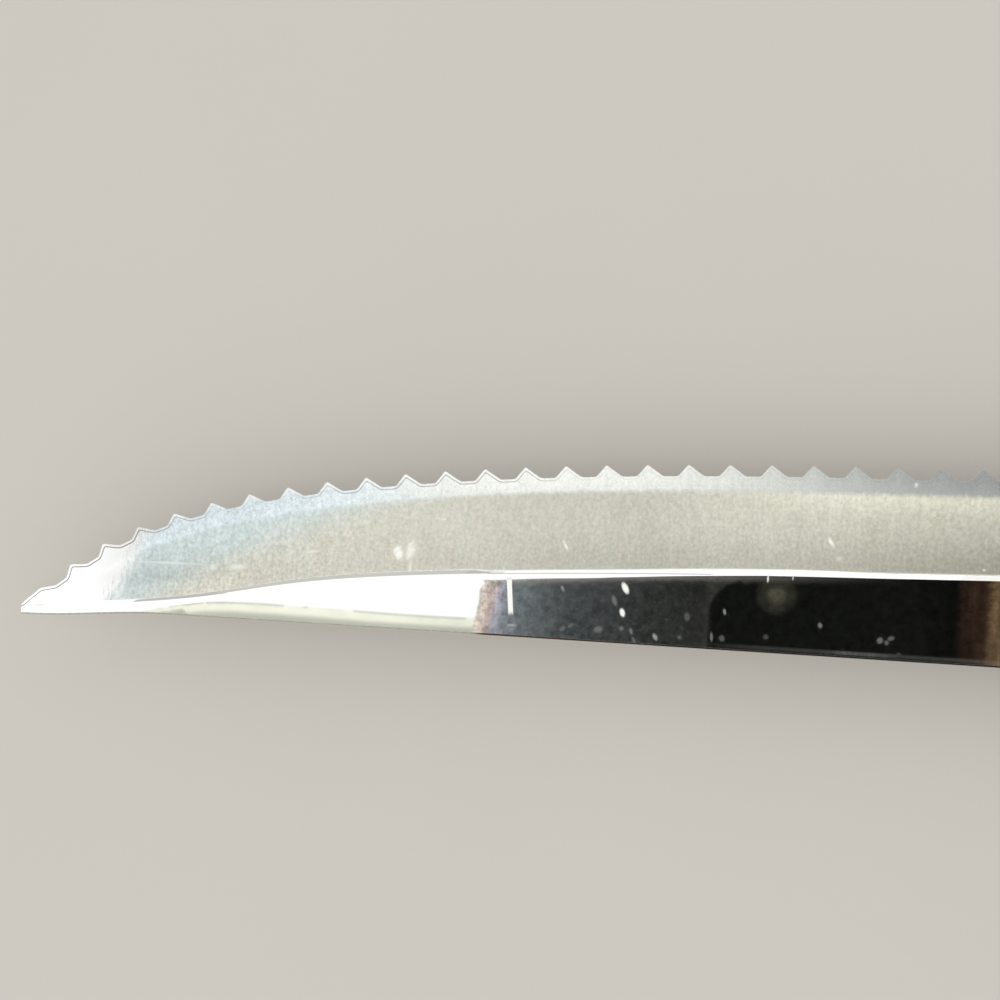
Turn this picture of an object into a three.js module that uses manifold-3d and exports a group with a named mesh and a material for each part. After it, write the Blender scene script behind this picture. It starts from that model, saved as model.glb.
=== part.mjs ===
// Trimming knife: a hollow-ground blade with a serrated edge, a full tang, two handle scales
// and three two-piece rivets. Millimetres, +Z up.
// The knife lies on its lower scale. X runs from the tip towards the butt, +Y from the spine towards
// the serrated edge, and the origin is the middle of the flat face that the knife rests on.
// The pieces are drawn with x measured from the tip, y from the straight part of the spine and
// z from the middle plane of the blade, and the group at the end moves them into place.
import * as THREE from "three";
import { mergeVertices } from "three/addons/utils/BufferGeometryUtils.js";
import Module from "manifold-3d";

// Blade
const bladeLength = 124; // tip to the front of the handle
const bladeWidth = 20.75; // spine to tooth tips, at the heel
const spineThickness = 1.7;
const spineChamfer = 0.22;
const tipDroop = 0.95; // the spine line falls this far at the tip
const tipDroopReach = 17;
const noseHeight = 1.15; // the tip is a small blunt nose
const noseThickness = 0.5;
const taperReach = 26; // the spine keeps its full thickness from here to the heel
const edgeCurveShares = [[0.0966, 0.532], [0.17, 0.981]]; // inner control points, of length and width

// Hollow grind
const grindStart = 8; // the grind line leaves the spine here
const grindWidth = 9.4; // spine to grind line, at the heel
const grindCurveShares = [[0.275, 0.309], [0.021, 0.619]];
const shoulderWidth = 1;
const shoulderDepth = 0.03;
const hollowDepth = 0.16; // how far the hollow lies below a straight bevel
const hollowWidth = 8; // a hollow narrower than this is shallower, as the grinding wheel leaves it
const bandWidth = 2.9; // the flat band along the teeth
const bandThickness = 0.68; // where the hollow meets the band
const edgeThickness = 0.44; // at the tooth tips
// Where the blade is narrow or thin, at the tip, its details shrink to these shares of it.
const narrowShare = 0.25;
const narrowChamferShare = 0.125;
const thinBandShare = 0.9;
const thinEdgeShare = 0.8;
const plungeLength = 4; // the grind runs out over this length
const plungeToHandle = 1.5;

// Serrated edge
const toothPitch = 4.4;
const firstTooth = 2.68; // nose to first tooth tip, along the edge
const gulletDepth = 1.36;
const firstGulletDepth = 1.05; // the gullets are shallower at the tip
const gulletDeepenReach = 40;
const tipFlankLength = 1.12; // the flank on the tip side of a tooth
const handleFlankLength = 1.65; // the longer flank on its handle side
const toothTipFlat = 0.06;
const gulletCornerHeight = 0.22;
const gulletGrindAngle = 21; // degrees, facets to the plane of the blade
const plainHeel = 5.6; // last tooth tip to the handle

// Handle
const handleLength = 122;
const handleWidth = 21;
const scaleThickness = 7.3;
const frontEdgeHeight = 2.2; // height of a scale where it starts, above the tang
const frontRoundLength = 9;
const buttEdgeHeight = 3.2;
const buttRoundLength = 7.5; // the butt is round in plan and in side view
const sideEdgeHeight = 1.0;
const sideRoundWidth = 4.9;
const sideRoundHeight = 5.2;
const tangChamfer = 0.05;
// Points of the handle's two outlines behind the heel, of its length and width.
const backLineShares = [[0.22, -0.035], [0.5, -0.06], [0.78, -0.01], [1, 0.12]];
const bellyLineShares = [[0.07, 1.0], [0.2, 0.9], [0.48, 0.975], [0.72, 0.9], [0.9, 1.05], [1, 1.18]];

// Rivets
const rivetPlaceShares = [0.13, 0.44, 0.75]; // of the handle's length
const rivetHeadRadius = 3.3;
const rivetHeadThickness = 1.2;
const barrelRadius = 2.2;
const boreRadius = 1.35;
const rivetClearance = 0.05; // between each rivet part and what it sits in
const barrelReach = 3; // the barrel ends this far past the middle plane
const shankReach = 3.2; // the shank ends this far past it on the other side
const boreEndGap = 1.2; // shank tip to the blind end of the bore
const shankTipChamfer = 0.3;

// Fineness of the faces
const bladeStations = 56;
const plungeStations = 4;
const stationCrowding = 1.35; // over 1 sets the stations closer together at the tip
const handleStationCount = 22;
const endStations = 7;
const hollowSteps = 5;
const scaleArcSteps = 6;
const rivetSegments = 24;
const overrun = 1; // cutters run past what they cut by this much

const halfSpine = spineThickness / 2;
const halfHandle = halfSpine + scaleThickness;
const knifeLength = bladeLength + handleLength;
const groundLength = bladeLength - plungeToHandle - plungeLength; // fully ground from the tip to here

const wasm = await Module();
wasm.setup();

// Helpers

function clamp(value, low, high) {
  return Math.min(Math.max(value, low), high);
}

function mix(a, b, t) {
  return a + (b - a) * t;
}

function smoothstep(from, to, x) {
  const t = clamp((x - from) / (to - from), 0, 1);
  return t * t * (3 - 2 * t);
}

// Height of a rising curve above x, found by halving.
function heightAt(curve, x) {
  let low = 0;
  let high = 1;
  while (high - low > 1e-7) {
    const middle = (low + high) / 2;
    if (curve.getPoint(middle).x < x) low = middle;
    else high = middle;
  }
  return curve.getPoint((low + high) / 2).y;
}

// Merges shared corners and leaves out the flat triangles at the poles of a turned piece.
function merged(geometry) {
  const bare = geometry.clone();
  bare.deleteAttribute("normal");
  bare.deleteAttribute("uv");
  const whole = mergeVertices(bare);
  const index = [];
  for (let i = 0; i < whole.index.count; i += 3) {
    const [a, b, c] = [0, 1, 2].map((k) => whole.index.getX(i + k));
    if (a !== b && b !== c && c !== a) index.push(a, b, c);
  }
  whole.setIndex(index);
  return whole;
}

// Closed surface through rings of equal length, each a polygon of points at one x.
// A ring runs anticlockwise as seen from the butt. Each end is closed by a fan from its middle.
function loft(rings) {
  const count = rings[0].length;
  const points = rings.flat();
  const index = [];
  for (let i = 0; i + 1 < rings.length; i++) {
    for (let j = 0; j < count; j++) {
      const a = i * count + j;
      const b = i * count + ((j + 1) % count);
      index.push(a, b, b + count, a, b + count, a + count);
    }
  }
  for (const end of [0, rings.length - 1]) {
    const middle = points.length;
    points.push(rings[end].reduce((sum, p) => sum.add(p), new THREE.Vector3()).divideScalar(count));
    for (let j = 0; j < count; j++) {
      const a = end * count + j;
      const b = end * count + ((j + 1) % count);
      if (end) index.push(middle, a, b);
      else index.push(middle, b, a);
    }
  }
  const geometry = new THREE.BufferGeometry().setFromPoints(points);
  geometry.setIndex(index);
  return geometry;
}

function toSolid(geometry) {
  const whole = merged(geometry);
  return new wasm.Manifold(new wasm.Mesh({
    numProp: 3,
    vertProperties: new Float32Array(whole.attributes.position.array),
    triVerts: new Uint32Array(whole.index.array),
  }));
}

function toGeometry(solid) {
  const mesh = solid.getMesh();
  const geometry = new THREE.BufferGeometry();
  geometry.setAttribute("position", new THREE.BufferAttribute(mesh.vertProperties, 3));
  geometry.setIndex(new THREE.BufferAttribute(mesh.triVerts, 1));
  geometry.computeVertexNormals();
  return geometry;
}

function cut(geometry, cutters) {
  return toGeometry(cutters.reduce((solid, cutter) => solid.subtract(toSolid(cutter)), toSolid(geometry)));
}

// Outline of the blade

const edgeCurve = new THREE.CubicBezierCurve(
  new THREE.Vector2(0, noseHeight - tipDroop),
  ...edgeCurveShares.map(([x, y]) => new THREE.Vector2(x * bladeLength, y * bladeWidth)),
  new THREE.Vector2(bladeLength, bladeWidth),
);
edgeCurve.arcLengthDivisions = 2000;

const grindCurve = new THREE.CubicBezierCurve(
  new THREE.Vector2(grindStart, 0),
  ...grindCurveShares.map(([x, y]) => new THREE.Vector2(
    mix(grindStart, bladeLength, x), y * grindWidth,
  )),
  new THREE.Vector2(bladeLength, grindWidth),
);

// The spine is straight and falls gently over the last stretch to the tip.
function spineLine(x) {
  return -tipDroop * smoothstep(tipDroopReach, 0, x);
}

function edgeLine(x) {
  return heightAt(edgeCurve, x);
}

function grindLine(x) {
  return x > grindStart ? heightAt(grindCurve, x) : 0;
}

// Outline of the handle

// Each line starts at the heel of the blade, at the given height.
function handleCurve(startHeight, shares) {
  const points = shares.map(([x, y]) => new THREE.Vector2(bladeLength + x * handleLength, y * handleWidth));
  return new THREE.SplineCurve([new THREE.Vector2(bladeLength, startHeight), ...points]);
}

const backCurve = handleCurve(0, backLineShares);
const bellyCurve = handleCurve(bladeWidth, bellyLineShares);

// How far a round corner of the butt has drawn the outline in at x.
function buttInset(x) {
  const past = clamp(x - (knifeLength - buttRoundLength), 0, buttRoundLength);
  return buttRoundLength - Math.sqrt(buttRoundLength ** 2 - past ** 2);
}

function backLine(x) {
  return heightAt(backCurve, x) + buttInset(x);
}

function bellyLine(x) {
  return heightAt(bellyCurve, x) - buttInset(x);
}

// Stations along the handle, closer together where its front and its butt are round.
function quarterTurn(i) {
  return (i / endStations) * (Math.PI / 2);
}

const handleStations = [];
for (let i = 0; i < endStations; i++) {
  handleStations.push(bladeLength + frontRoundLength * (1 - Math.cos(quarterTurn(i))));
}
for (let i = 0; i < handleStationCount; i++) {
  handleStations.push(mix(
    bladeLength + frontRoundLength, knifeLength - buttRoundLength, i / handleStationCount,
  ));
}
for (let i = 0; i <= endStations; i++) {
  handleStations.push(knifeLength - buttRoundLength * (1 - Math.sin(quarterTurn(i))));
}

// Blade and tang, one piece of steel

// The ground part of a section, as [y, half thickness] from the grind line to the edge: a rounded
// shoulder, a hollow that sags as a parabola below the straight line, and the band along the teeth.
function groundRows(grind, band, edge, halfBack, halfBand, halfEdge) {
  const shoulder = Math.min(shoulderWidth, (band - grind) * narrowShare);
  const drop = Math.min(shoulderDepth, halfBack * narrowShare);
  const share = Math.min((band - grind - shoulder) / hollowWidth, 1);
  const sag = Math.min(hollowDepth * share ** 2, halfBack * narrowShare);
  const rows = [[grind, halfBack], [grind + shoulder / 2, halfBack - drop / 4]];
  for (let i = 0; i <= hollowSteps; i++) {
    const t = i / hollowSteps;
    const half = mix(halfBack - drop, halfBand, t) - sag * 4 * t * (1 - t);
    rows.push([mix(grind + shoulder, band, t), half]);
  }
  rows.push([edge, halfEdge]);
  return rows;
}

// Rows of [y, half thickness] from the spine to the edge.
function bladeRows(x) {
  const spine = spineLine(x);
  const edge = edgeLine(x);
  const halfBack = mix(noseThickness / 2, halfSpine, Math.sin(clamp(x / taperReach, 0, 1) * Math.PI / 2));
  const chamfer = Math.min(spineChamfer, (edge - spine) * narrowChamferShare, halfBack * narrowShare);
  const grind = Math.max(grindLine(x), spine + 2 * chamfer);
  const band = edge - Math.min(bandWidth, (edge - grind) / 2);
  const halfBand = Math.min(bandThickness / 2, halfBack * thinBandShare);
  const halfEdge = Math.min(edgeThickness / 2, halfBack * thinEdgeShare);
  const runOut = smoothstep(groundLength, groundLength + plungeLength, x);
  const ground = groundRows(grind, band, edge, halfBack, halfBand, halfEdge)
    .map(([y, half]) => [y, mix(half, halfBack, runOut)]);
  const back = mix(chamfer, tangChamfer, runOut);
  return [[spine, halfBack - back], [spine + back, halfBack], ...ground];
}

// The tang has the same rows, all at full thickness, between the handle's two lines.
function tangRows(x) {
  const back = backLine(x);
  const belly = bellyLine(x);
  const rows = bladeRows(bladeLength);
  const first = rows[1][0];
  const last = rows[rows.length - 1][0];
  const spread = rows.slice(1).map(([y]) => [
    mix(back + tangChamfer, belly, (y - first) / (last - first)), halfSpine,
  ]);
  return [[back, halfSpine - tangChamfer], ...spread];
}

function sectionRing(x, rows) {
  const lower = rows.map(([y, half]) => new THREE.Vector3(x, y, -half));
  const upper = rows.map(([y, half]) => new THREE.Vector3(x, y, half));
  return [...lower, ...upper.reverse()];
}

function bladeBlank() {
  const rings = [];
  for (let i = 0; i < bladeStations; i++) {
    const x = groundLength * (i / bladeStations) ** stationCrowding;
    rings.push(sectionRing(x, bladeRows(x)));
  }
  for (let i = 0; i <= plungeStations; i++) {
    const x = groundLength + plungeLength * (i / plungeStations);
    rings.push(sectionRing(x, bladeRows(x)));
  }
  for (const x of handleStations) rings.push(sectionRing(x, tangRows(x)));
  return loft(rings);
}

// Outline of one gullet as ground: x along the edge, y out of the blade, the floor at zero.
// Its flanks run on to the height of rise, past the tooth tips.
function gulletShape(depth, rise) {
  const near = handleFlankLength / depth; // length per height, of the tooth before this gullet
  const far = tipFlankLength / depth; // the same, of the tooth after it
  const half = (toothPitch - toothTipFlat - handleFlankLength - tipFlankLength) / 2;
  const corner = gulletCornerHeight;
  const shape = new THREE.Shape();
  shape.moveTo(-half - near * rise, rise);
  shape.lineTo(-half - near * corner, corner);
  shape.quadraticCurveTo(-half, 0, -half + corner, 0);
  shape.lineTo(half - corner, 0);
  shape.quadraticCurveTo(half, 0, half + far * corner, corner);
  shape.lineTo(half + far * rise, rise);
  shape.closePath();
  return shape;
}

// Cutter for one gullet. The facets lie at the grinding angle to the blade: the prism is sheared, so it
// cuts the full outline at the upper face and runs further into the blade towards the lower face.
function gulletCutter(startLength, edgeLength) {
  const middle = startLength + toothPitch / 2;
  const place = edgeCurve.getPointAt(middle / edgeLength);
  const tangent = edgeCurve.getTangentAt(middle / edgeLength);
  const depth = mix(firstGulletDepth, gulletDepth, clamp(place.x / gulletDeepenReach, 0, 1));
  const shift = (handleFlankLength - tipFlankLength) / 2;
  const run = 1 / Math.tan(THREE.MathUtils.degToRad(gulletGrindAngle));
  const upperFace = edgeThickness / 2;
  const rise = depth + run * (halfSpine + upperFace) + overrun;
  const geometry = new THREE.ExtrudeGeometry(gulletShape(depth, rise), {
    depth: halfSpine + upperFace + 2 * overrun, bevelEnabled: false, curveSegments: 2,
  });
  geometry.translate(shift, -depth, -halfSpine - upperFace - overrun);
  geometry.applyMatrix4(new THREE.Matrix4().makeShear(0, 0, 0, 0, 0, run));
  geometry.rotateZ(Math.atan2(tangent.y, tangent.x));
  geometry.translate(place.x, place.y, upperFace);
  return geometry;
}

function gulletCutters() {
  const edgeLength = edgeCurve.getLength();
  const count = Math.floor((edgeLength - plainHeel - firstTooth) / toothPitch);
  return Array.from({ length: count }, (_, k) => gulletCutter(firstTooth + k * toothPitch, edgeLength));
}

// Rivets

const rivetPlaces = rivetPlaceShares.map((share) => {
  const x = bladeLength + share * handleLength;
  return new THREE.Vector2(x, (backLine(x) + bellyLine(x)) / 2);
});

// Turned piece: profile points are [radius, z], and the axis is upright.
function turned(profile) {
  const geometry = new THREE.LatheGeometry(profile.map(([r, z]) => new THREE.Vector2(r, z)), rivetSegments);
  return merged(geometry.rotateX(Math.PI / 2));
}

const headFloor = halfHandle - rivetHeadThickness;

// Stepped hole through the whole handle: a counterbore for each head and a hole for the barrel.
function rivetHole(place) {
  const hole = barrelRadius + rivetClearance;
  const counterbore = rivetHeadRadius + rivetClearance;
  const past = halfHandle + overrun;
  return turned([
    [0, -past], [counterbore, -past], [counterbore, -headFloor], [hole, -headFloor],
    [hole, headFloor], [counterbore, headFloor], [counterbore, past], [0, past],
  ]).translate(place.x, place.y, 0);
}

// Female half: a head with a tube that the shank presses into.
function femaleRivet() {
  return turned([
    [0, -halfHandle], [rivetHeadRadius, -halfHandle], [rivetHeadRadius, -headFloor],
    [barrelRadius, -headFloor], [barrelRadius, barrelReach], [boreRadius, barrelReach],
    [boreRadius, -shankReach - boreEndGap], [0, -shankReach - boreEndGap],
  ]);
}

// Male half: a head with a solid shank.
function maleRivet() {
  const shankRadius = boreRadius - rivetClearance;
  return turned([
    [0, -shankReach], [shankRadius - shankTipChamfer, -shankReach],
    [shankRadius, shankTipChamfer - shankReach], [shankRadius, headFloor],
    [rivetHeadRadius, headFloor], [rivetHeadRadius, halfHandle], [0, halfHandle],
  ]);
}

// Handle scales

// Quarter ellipse from the edge height up to full height over the given length.
function roundedRise(distance, length, edgeHeight) {
  const t = 1 - clamp(distance / length, 0, 1);
  return mix(edgeHeight, scaleThickness, Math.sqrt(1 - t * t));
}

// Section of a scale at x: flat against the tang, a low upright side, a round edge and a flat face.
function scaleRing(x) {
  const back = backLine(x);
  const belly = bellyLine(x);
  const height = Math.min(
    roundedRise(x - bladeLength, frontRoundLength, frontEdgeHeight),
    roundedRise(knifeLength - x, buttRoundLength, buttEdgeHeight),
  );
  const roundHeight = Math.min(sideRoundHeight, height - sideEdgeHeight);
  const wall = halfSpine + height - roundHeight;
  const ring = [new THREE.Vector3(x, back, halfSpine), new THREE.Vector3(x, belly, halfSpine)];
  for (const towardBack of [false, true]) {
    for (let i = 0; i <= scaleArcSteps; i++) {
      const turn = (Math.PI / 2) * (towardBack ? 1 - i / scaleArcSteps : i / scaleArcSteps);
      const inset = sideRoundWidth * (1 - Math.cos(turn));
      const y = towardBack ? back + inset : belly - inset;
      ring.push(new THREE.Vector3(x, y, wall + roundHeight * Math.sin(turn)));
    }
  }
  return ring;
}

function scaleBlank() {
  return loft(handleStations.map(scaleRing));
}

// Pieces

const steel = new THREE.MeshStandardMaterial({ color: 0xc9cac4, roughness: 0.25, metalness: 1 });
const scaleWood = new THREE.MeshStandardMaterial({ color: 0x3a2218, roughness: 0.45, metalness: 0 });
const rivetMetal = new THREE.MeshStandardMaterial({ color: 0xbfb9a8, roughness: 0.3, metalness: 1 });

const holes = rivetPlaces.map(rivetHole);
const knife = new THREE.Group();

function add(name, geometry, material, x = 0, y = 0) {
  const mesh = new THREE.Mesh(geometry, material);
  mesh.name = name;
  mesh.position.set(x, y, 0);
  knife.add(mesh);
  return mesh;
}

add("blade", cut(bladeBlank(), [...gulletCutters(), ...holes]), steel);

const scaleGeometry = cut(scaleBlank(), holes);
add("scale_upper", scaleGeometry, scaleWood);
const lowerScale = scaleGeometry.clone().scale(1, 1, -1);
lowerScale.setIndex(new THREE.BufferAttribute(scaleGeometry.index.array.slice().reverse(), 1));
add("scale_lower", lowerScale, scaleWood);

["front", "middle", "rear"].forEach((where, k) => {
  add("rivet_" + where + "_male", maleRivet(), rivetMetal, rivetPlaces[k].x, rivetPlaces[k].y);
  add("rivet_" + where + "_female", femaleRivet(), rivetMetal, rivetPlaces[k].x, rivetPlaces[k].y);
});

// The origin is halfway along the handle, in the middle of the flat face.
const restX = bladeLength + handleLength / 2;
const restY = (backLine(restX) + bellyLine(restX)) / 2;
knife.position.set(-restX, -restY, halfHandle);

export default knife;
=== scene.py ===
import math

import bmesh
import bpy
import numpy as np
from mathutils import Matrix, Vector


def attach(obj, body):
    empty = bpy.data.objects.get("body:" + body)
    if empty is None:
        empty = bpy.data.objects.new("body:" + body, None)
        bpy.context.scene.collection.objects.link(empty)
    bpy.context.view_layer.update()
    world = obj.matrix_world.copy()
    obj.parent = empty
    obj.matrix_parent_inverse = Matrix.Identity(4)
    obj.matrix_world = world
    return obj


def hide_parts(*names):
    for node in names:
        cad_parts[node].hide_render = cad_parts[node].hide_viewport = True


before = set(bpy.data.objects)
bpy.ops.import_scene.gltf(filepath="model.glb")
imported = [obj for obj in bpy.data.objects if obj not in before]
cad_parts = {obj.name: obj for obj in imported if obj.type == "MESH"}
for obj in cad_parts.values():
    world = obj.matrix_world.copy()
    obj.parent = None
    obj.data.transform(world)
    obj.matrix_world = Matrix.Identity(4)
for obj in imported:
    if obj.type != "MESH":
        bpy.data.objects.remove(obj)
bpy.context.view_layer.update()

MM = 0.001

# Blade
BLADE_LENGTH = 124.0
BLADE_WIDTH = 20.75
HALF_SPINE = 0.85
SPINE_CHAMFER = 0.22
TIP_DROOP = 0.95
TIP_DROOP_REACH = 17.0
NOSE_HEIGHT = 1.15
NOSE_THICKNESS = 0.5
TAPER_REACH = 26.0
EDGE_CURVE_SHARES = ((0.0966, 0.532), (0.17, 0.981))

# Hollow grind
GRIND_START = 8.0
GRIND_WIDTH = 9.4
GRIND_CURVE_SHARES = ((0.275, 0.309), (0.021, 0.619))
SHOULDER_WIDTH = 1.0
SHOULDER_DEPTH = 0.03
HOLLOW_DEPTH = 0.16
HOLLOW_WIDTH = 8.0
BAND_WIDTH = 2.9
BAND_THICKNESS = 0.68
EDGE_THICKNESS = 0.44
NARROW_SHARE = 0.25
NARROW_CHAMFER_SHARE = 0.125
THIN_BAND_SHARE = 0.9
THIN_EDGE_SHARE = 0.8
GROUND_LENGTH = 118.5
PLUNGE_LENGTH = 4.0

# Serrated edge
TOOTH_PITCH = 4.4
FIRST_TOOTH = 2.68
GULLET_COUNT = 27
GULLET_DEPTH = 1.36
FIRST_GULLET_DEPTH = 1.05
GULLET_DEEPEN_REACH = 40.0
TIP_FLANK_LENGTH = 1.12
HANDLE_FLANK_LENGTH = 1.65
TOOTH_TIP_FLAT = 0.06
GULLET_CORNER = 0.22
GULLET_GRIND_ANGLE = 21.0
UPPER_FACE = EDGE_THICKNESS / 2

# Handle
HANDLE_LENGTH = 122.0
HANDLE_WIDTH = 21.0
KNIFE_LENGTH = BLADE_LENGTH + HANDLE_LENGTH
SCALE_THICKNESS = 7.3
HALF_HANDLE = HALF_SPINE + SCALE_THICKNESS
FRONT_EDGE_HEIGHT = 2.2
FRONT_ROUND_LENGTH = 9.0
BUTT_EDGE_HEIGHT = 3.2
BUTT_ROUND_LENGTH = 7.5
SIDE_EDGE_HEIGHT = 1.0
SIDE_ROUND_WIDTH = 4.9
SIDE_ROUND_HEIGHT = 5.2
TANG_CHAMFER = 0.05
SCALE_END_SOFTENING = 0.3
BACK_LINE_SHARES = ((0.22, -0.035), (0.5, -0.06), (0.78, -0.01), (1, 0.12))
BELLY_LINE_SHARES = ((0.07, 1.0), (0.2, 0.9), (0.48, 0.975), (0.72, 0.9), (0.9, 1.05), (1, 1.18))

# Rivets
RIVET_PLACE_SHARES = (0.13, 0.44, 0.75)
RIVET_NAMES = ("front", "middle", "rear")
RIVET_HEAD_RADIUS = 3.3
RIVET_HEAD_THICKNESS = 1.2
RIVET_HEAD_SOFTENING = 0.06
HEAD_FLOOR = HALF_HANDLE - RIVET_HEAD_THICKNESS
BARREL_RADIUS = 2.2
BORE_RADIUS = 1.35
RIVET_CLEARANCE = 0.05
BARREL_REACH = 3.0
SHANK_REACH = 3.2
BORE_END_GAP = 1.2
SHANK_TIP_CHAMFER = 0.3

# Fineness of the faces
CURVE_POINTS = 4001
FLANK_STEPS = 7
CORNER_STEPS = 5
FLOOR_STEPS = 5
NOSE_COLUMNS = 8
HEEL_COLUMNS = 34
HANDLE_COLUMNS = 90
END_COLUMNS = 18
FLAT_SHARES = (0.35, 0.7, 0.985, 1.0)
SHOULDER_STEPS = 7
HOLLOW_STEPS = 14
FACET_STEPS = 3
BEYOND_FACET_STEPS = 3
SCALE_ARC_STEPS = 18
SCALE_FLAT_STEPS = 4
TURN_SEGMENTS = 96
SHARP_ANGLE = 13.0
OVERRUN = 1.0
RIM_ROWS = (0.0, 0.14, 0.22, 0.32, 0.42, 0.8)
RIM_REACH = 4.0
COLUMN_STEP = 0.004
MERGE_DISTANCE = 0.0002
END_SOFTENING_SHARES = (0.06, 0.2, 0.45, 0.75, 1.0)
SHORTEST_STEP = 1e-12
SOLVING_ROUNDS = 6
LARGEST_RIM_SHARE = 0.9


# Numbers

def mix(a, b, t):
    return a + (b - a) * t


def smoothstep(start, end, x):
    t = np.clip((x - start) / (end - start), 0, 1)
    return t * t * (3 - 2 * t)


def bezier(start, first, second, end):
    """Cubic Bezier: the four points weighted by (1-t)^3, 3(1-t)^2 t, 3(1-t)t^2 and t^3."""
    t = np.linspace(0, 1, CURVE_POINTS)[:, None]
    weights = ((1 - t) ** 3, 3 * (1 - t) ** 2 * t, 3 * (1 - t) * t ** 2, t ** 3)
    return sum(w * np.array(p, float) for w, p in zip(weights, (start, first, second, end)))


def through_points(points):
    """Uniform Catmull-Rom spline through the points, with its end points doubled."""
    p = np.array([points[0], *points, points[-1]], float)
    t = np.linspace(0, 1, CURVE_POINTS // (len(points) - 1))[:, None]
    spans = []
    for a, b, c, d in zip(p, p[1:], p[2:], p[3:]):
        slope_b, slope_c = (c - a) / 2, (d - b) / 2
        spans.append((2 * b - 2 * c + slope_b + slope_c) * t ** 3
                     + (3 * c - 3 * b - 2 * slope_b - slope_c) * t ** 2 + slope_b * t + b)
    return np.concatenate(spans)


# Outlines

EDGE = bezier((0, NOSE_HEIGHT - TIP_DROOP),
              *[(x * BLADE_LENGTH, y * BLADE_WIDTH) for x, y in EDGE_CURVE_SHARES],
              (BLADE_LENGTH, BLADE_WIDTH))
EDGE_ARC = np.concatenate(([0], np.cumsum(np.linalg.norm(np.diff(EDGE, axis=0), axis=1))))
EDGE_SLOPE = np.gradient(EDGE, axis=0)
EDGE_SLOPE /= np.linalg.norm(EDGE_SLOPE, axis=1)[:, None]
GRIND = bezier((GRIND_START, 0), *[(mix(GRIND_START, BLADE_LENGTH, x), y * GRIND_WIDTH)
                                   for x, y in GRIND_CURVE_SHARES], (BLADE_LENGTH, GRIND_WIDTH))


def handle_line(start_height, shares):
    return through_points([(BLADE_LENGTH, start_height)]
                          + [(BLADE_LENGTH + x * HANDLE_LENGTH, y * HANDLE_WIDTH) for x, y in shares])


BACK = handle_line(0, BACK_LINE_SHARES)
BELLY = handle_line(BLADE_WIDTH, BELLY_LINE_SHARES)


def spine_line(x):
    return -TIP_DROOP * smoothstep(TIP_DROOP_REACH, 0, x)


def edge_line(x):
    return np.interp(x, EDGE[:, 0], EDGE[:, 1])


def grind_line(x):
    return np.where(x > GRIND_START, np.interp(x, GRIND[:, 0], GRIND[:, 1]), 0)


def butt_inset(x):
    """The round corners of the butt draw the outline in by R - sqrt(R^2 - past^2)."""
    past = np.clip(x - (KNIFE_LENGTH - BUTT_ROUND_LENGTH), 0, BUTT_ROUND_LENGTH)
    return BUTT_ROUND_LENGTH - np.sqrt(BUTT_ROUND_LENGTH ** 2 - past ** 2)


def back_line(x):
    return np.interp(x, BACK[:, 0], BACK[:, 1]) + butt_inset(x)


def belly_line(x):
    return np.interp(x, BELLY[:, 0], BELLY[:, 1]) - butt_inset(x)


def middle_line(x):
    return float(back_line(x) + belly_line(x)) / 2


REST_X = BLADE_LENGTH + HANDLE_LENGTH / 2
REST_Y = middle_line(REST_X)
PLACE = np.array((-REST_X, -REST_Y, HALF_HANDLE))
RIVET_STATIONS = [BLADE_LENGTH + share * HANDLE_LENGTH for share in RIVET_PLACE_SHARES]
RIVET_PLACES = [(x, middle_line(x)) for x in RIVET_STATIONS]
END_SOFTENING_STATIONS = np.concatenate([
    start + side * SCALE_END_SOFTENING * np.array(END_SOFTENING_SHARES)
    for start, side in ((BLADE_LENGTH, 1), (KNIFE_LENGTH, -1))])


def placed(points):
    """Moves points from the drawing's origin to the frame, in metres."""
    return (np.asarray(points, float) + PLACE) * MM


# Blade section

def blade_lines(x):
    """Heights of the section's lines at x, and half the thickness on each."""
    spine, edge = spine_line(x), edge_line(x)
    half_back = mix(NOSE_THICKNESS / 2, HALF_SPINE, np.sin(np.clip(x / TAPER_REACH, 0, 1) * np.pi / 2))
    chamfer = np.minimum(np.minimum(SPINE_CHAMFER, (edge - spine) * NARROW_CHAMFER_SHARE),
                         half_back * NARROW_SHARE)
    grind = np.maximum(grind_line(x), spine + 2 * chamfer)
    band = edge - np.minimum(BAND_WIDTH, (edge - grind) / 2)
    run_out = smoothstep(GROUND_LENGTH, GROUND_LENGTH + PLUNGE_LENGTH, x)
    shoulder = np.minimum(SHOULDER_WIDTH, (band - grind) * NARROW_SHARE)
    share = np.minimum((band - grind - shoulder) / HOLLOW_WIDTH, 1)
    return {
        "spine": spine, "edge": edge, "grind": grind, "band": band, "half_back": half_back,
        "chamfer": mix(chamfer, TANG_CHAMFER, run_out), "run_out": run_out,
        "half_band": np.minimum(BAND_THICKNESS / 2, half_back * THIN_BAND_SHARE),
        "half_edge": np.minimum(EDGE_THICKNESS / 2, half_back * THIN_EDGE_SHARE),
        "shoulder": shoulder,
        "drop": np.minimum(SHOULDER_DEPTH, half_back * NARROW_SHARE),
        "sag": np.minimum(HOLLOW_DEPTH * share ** 2, half_back * NARROW_SHARE),
    }


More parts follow.
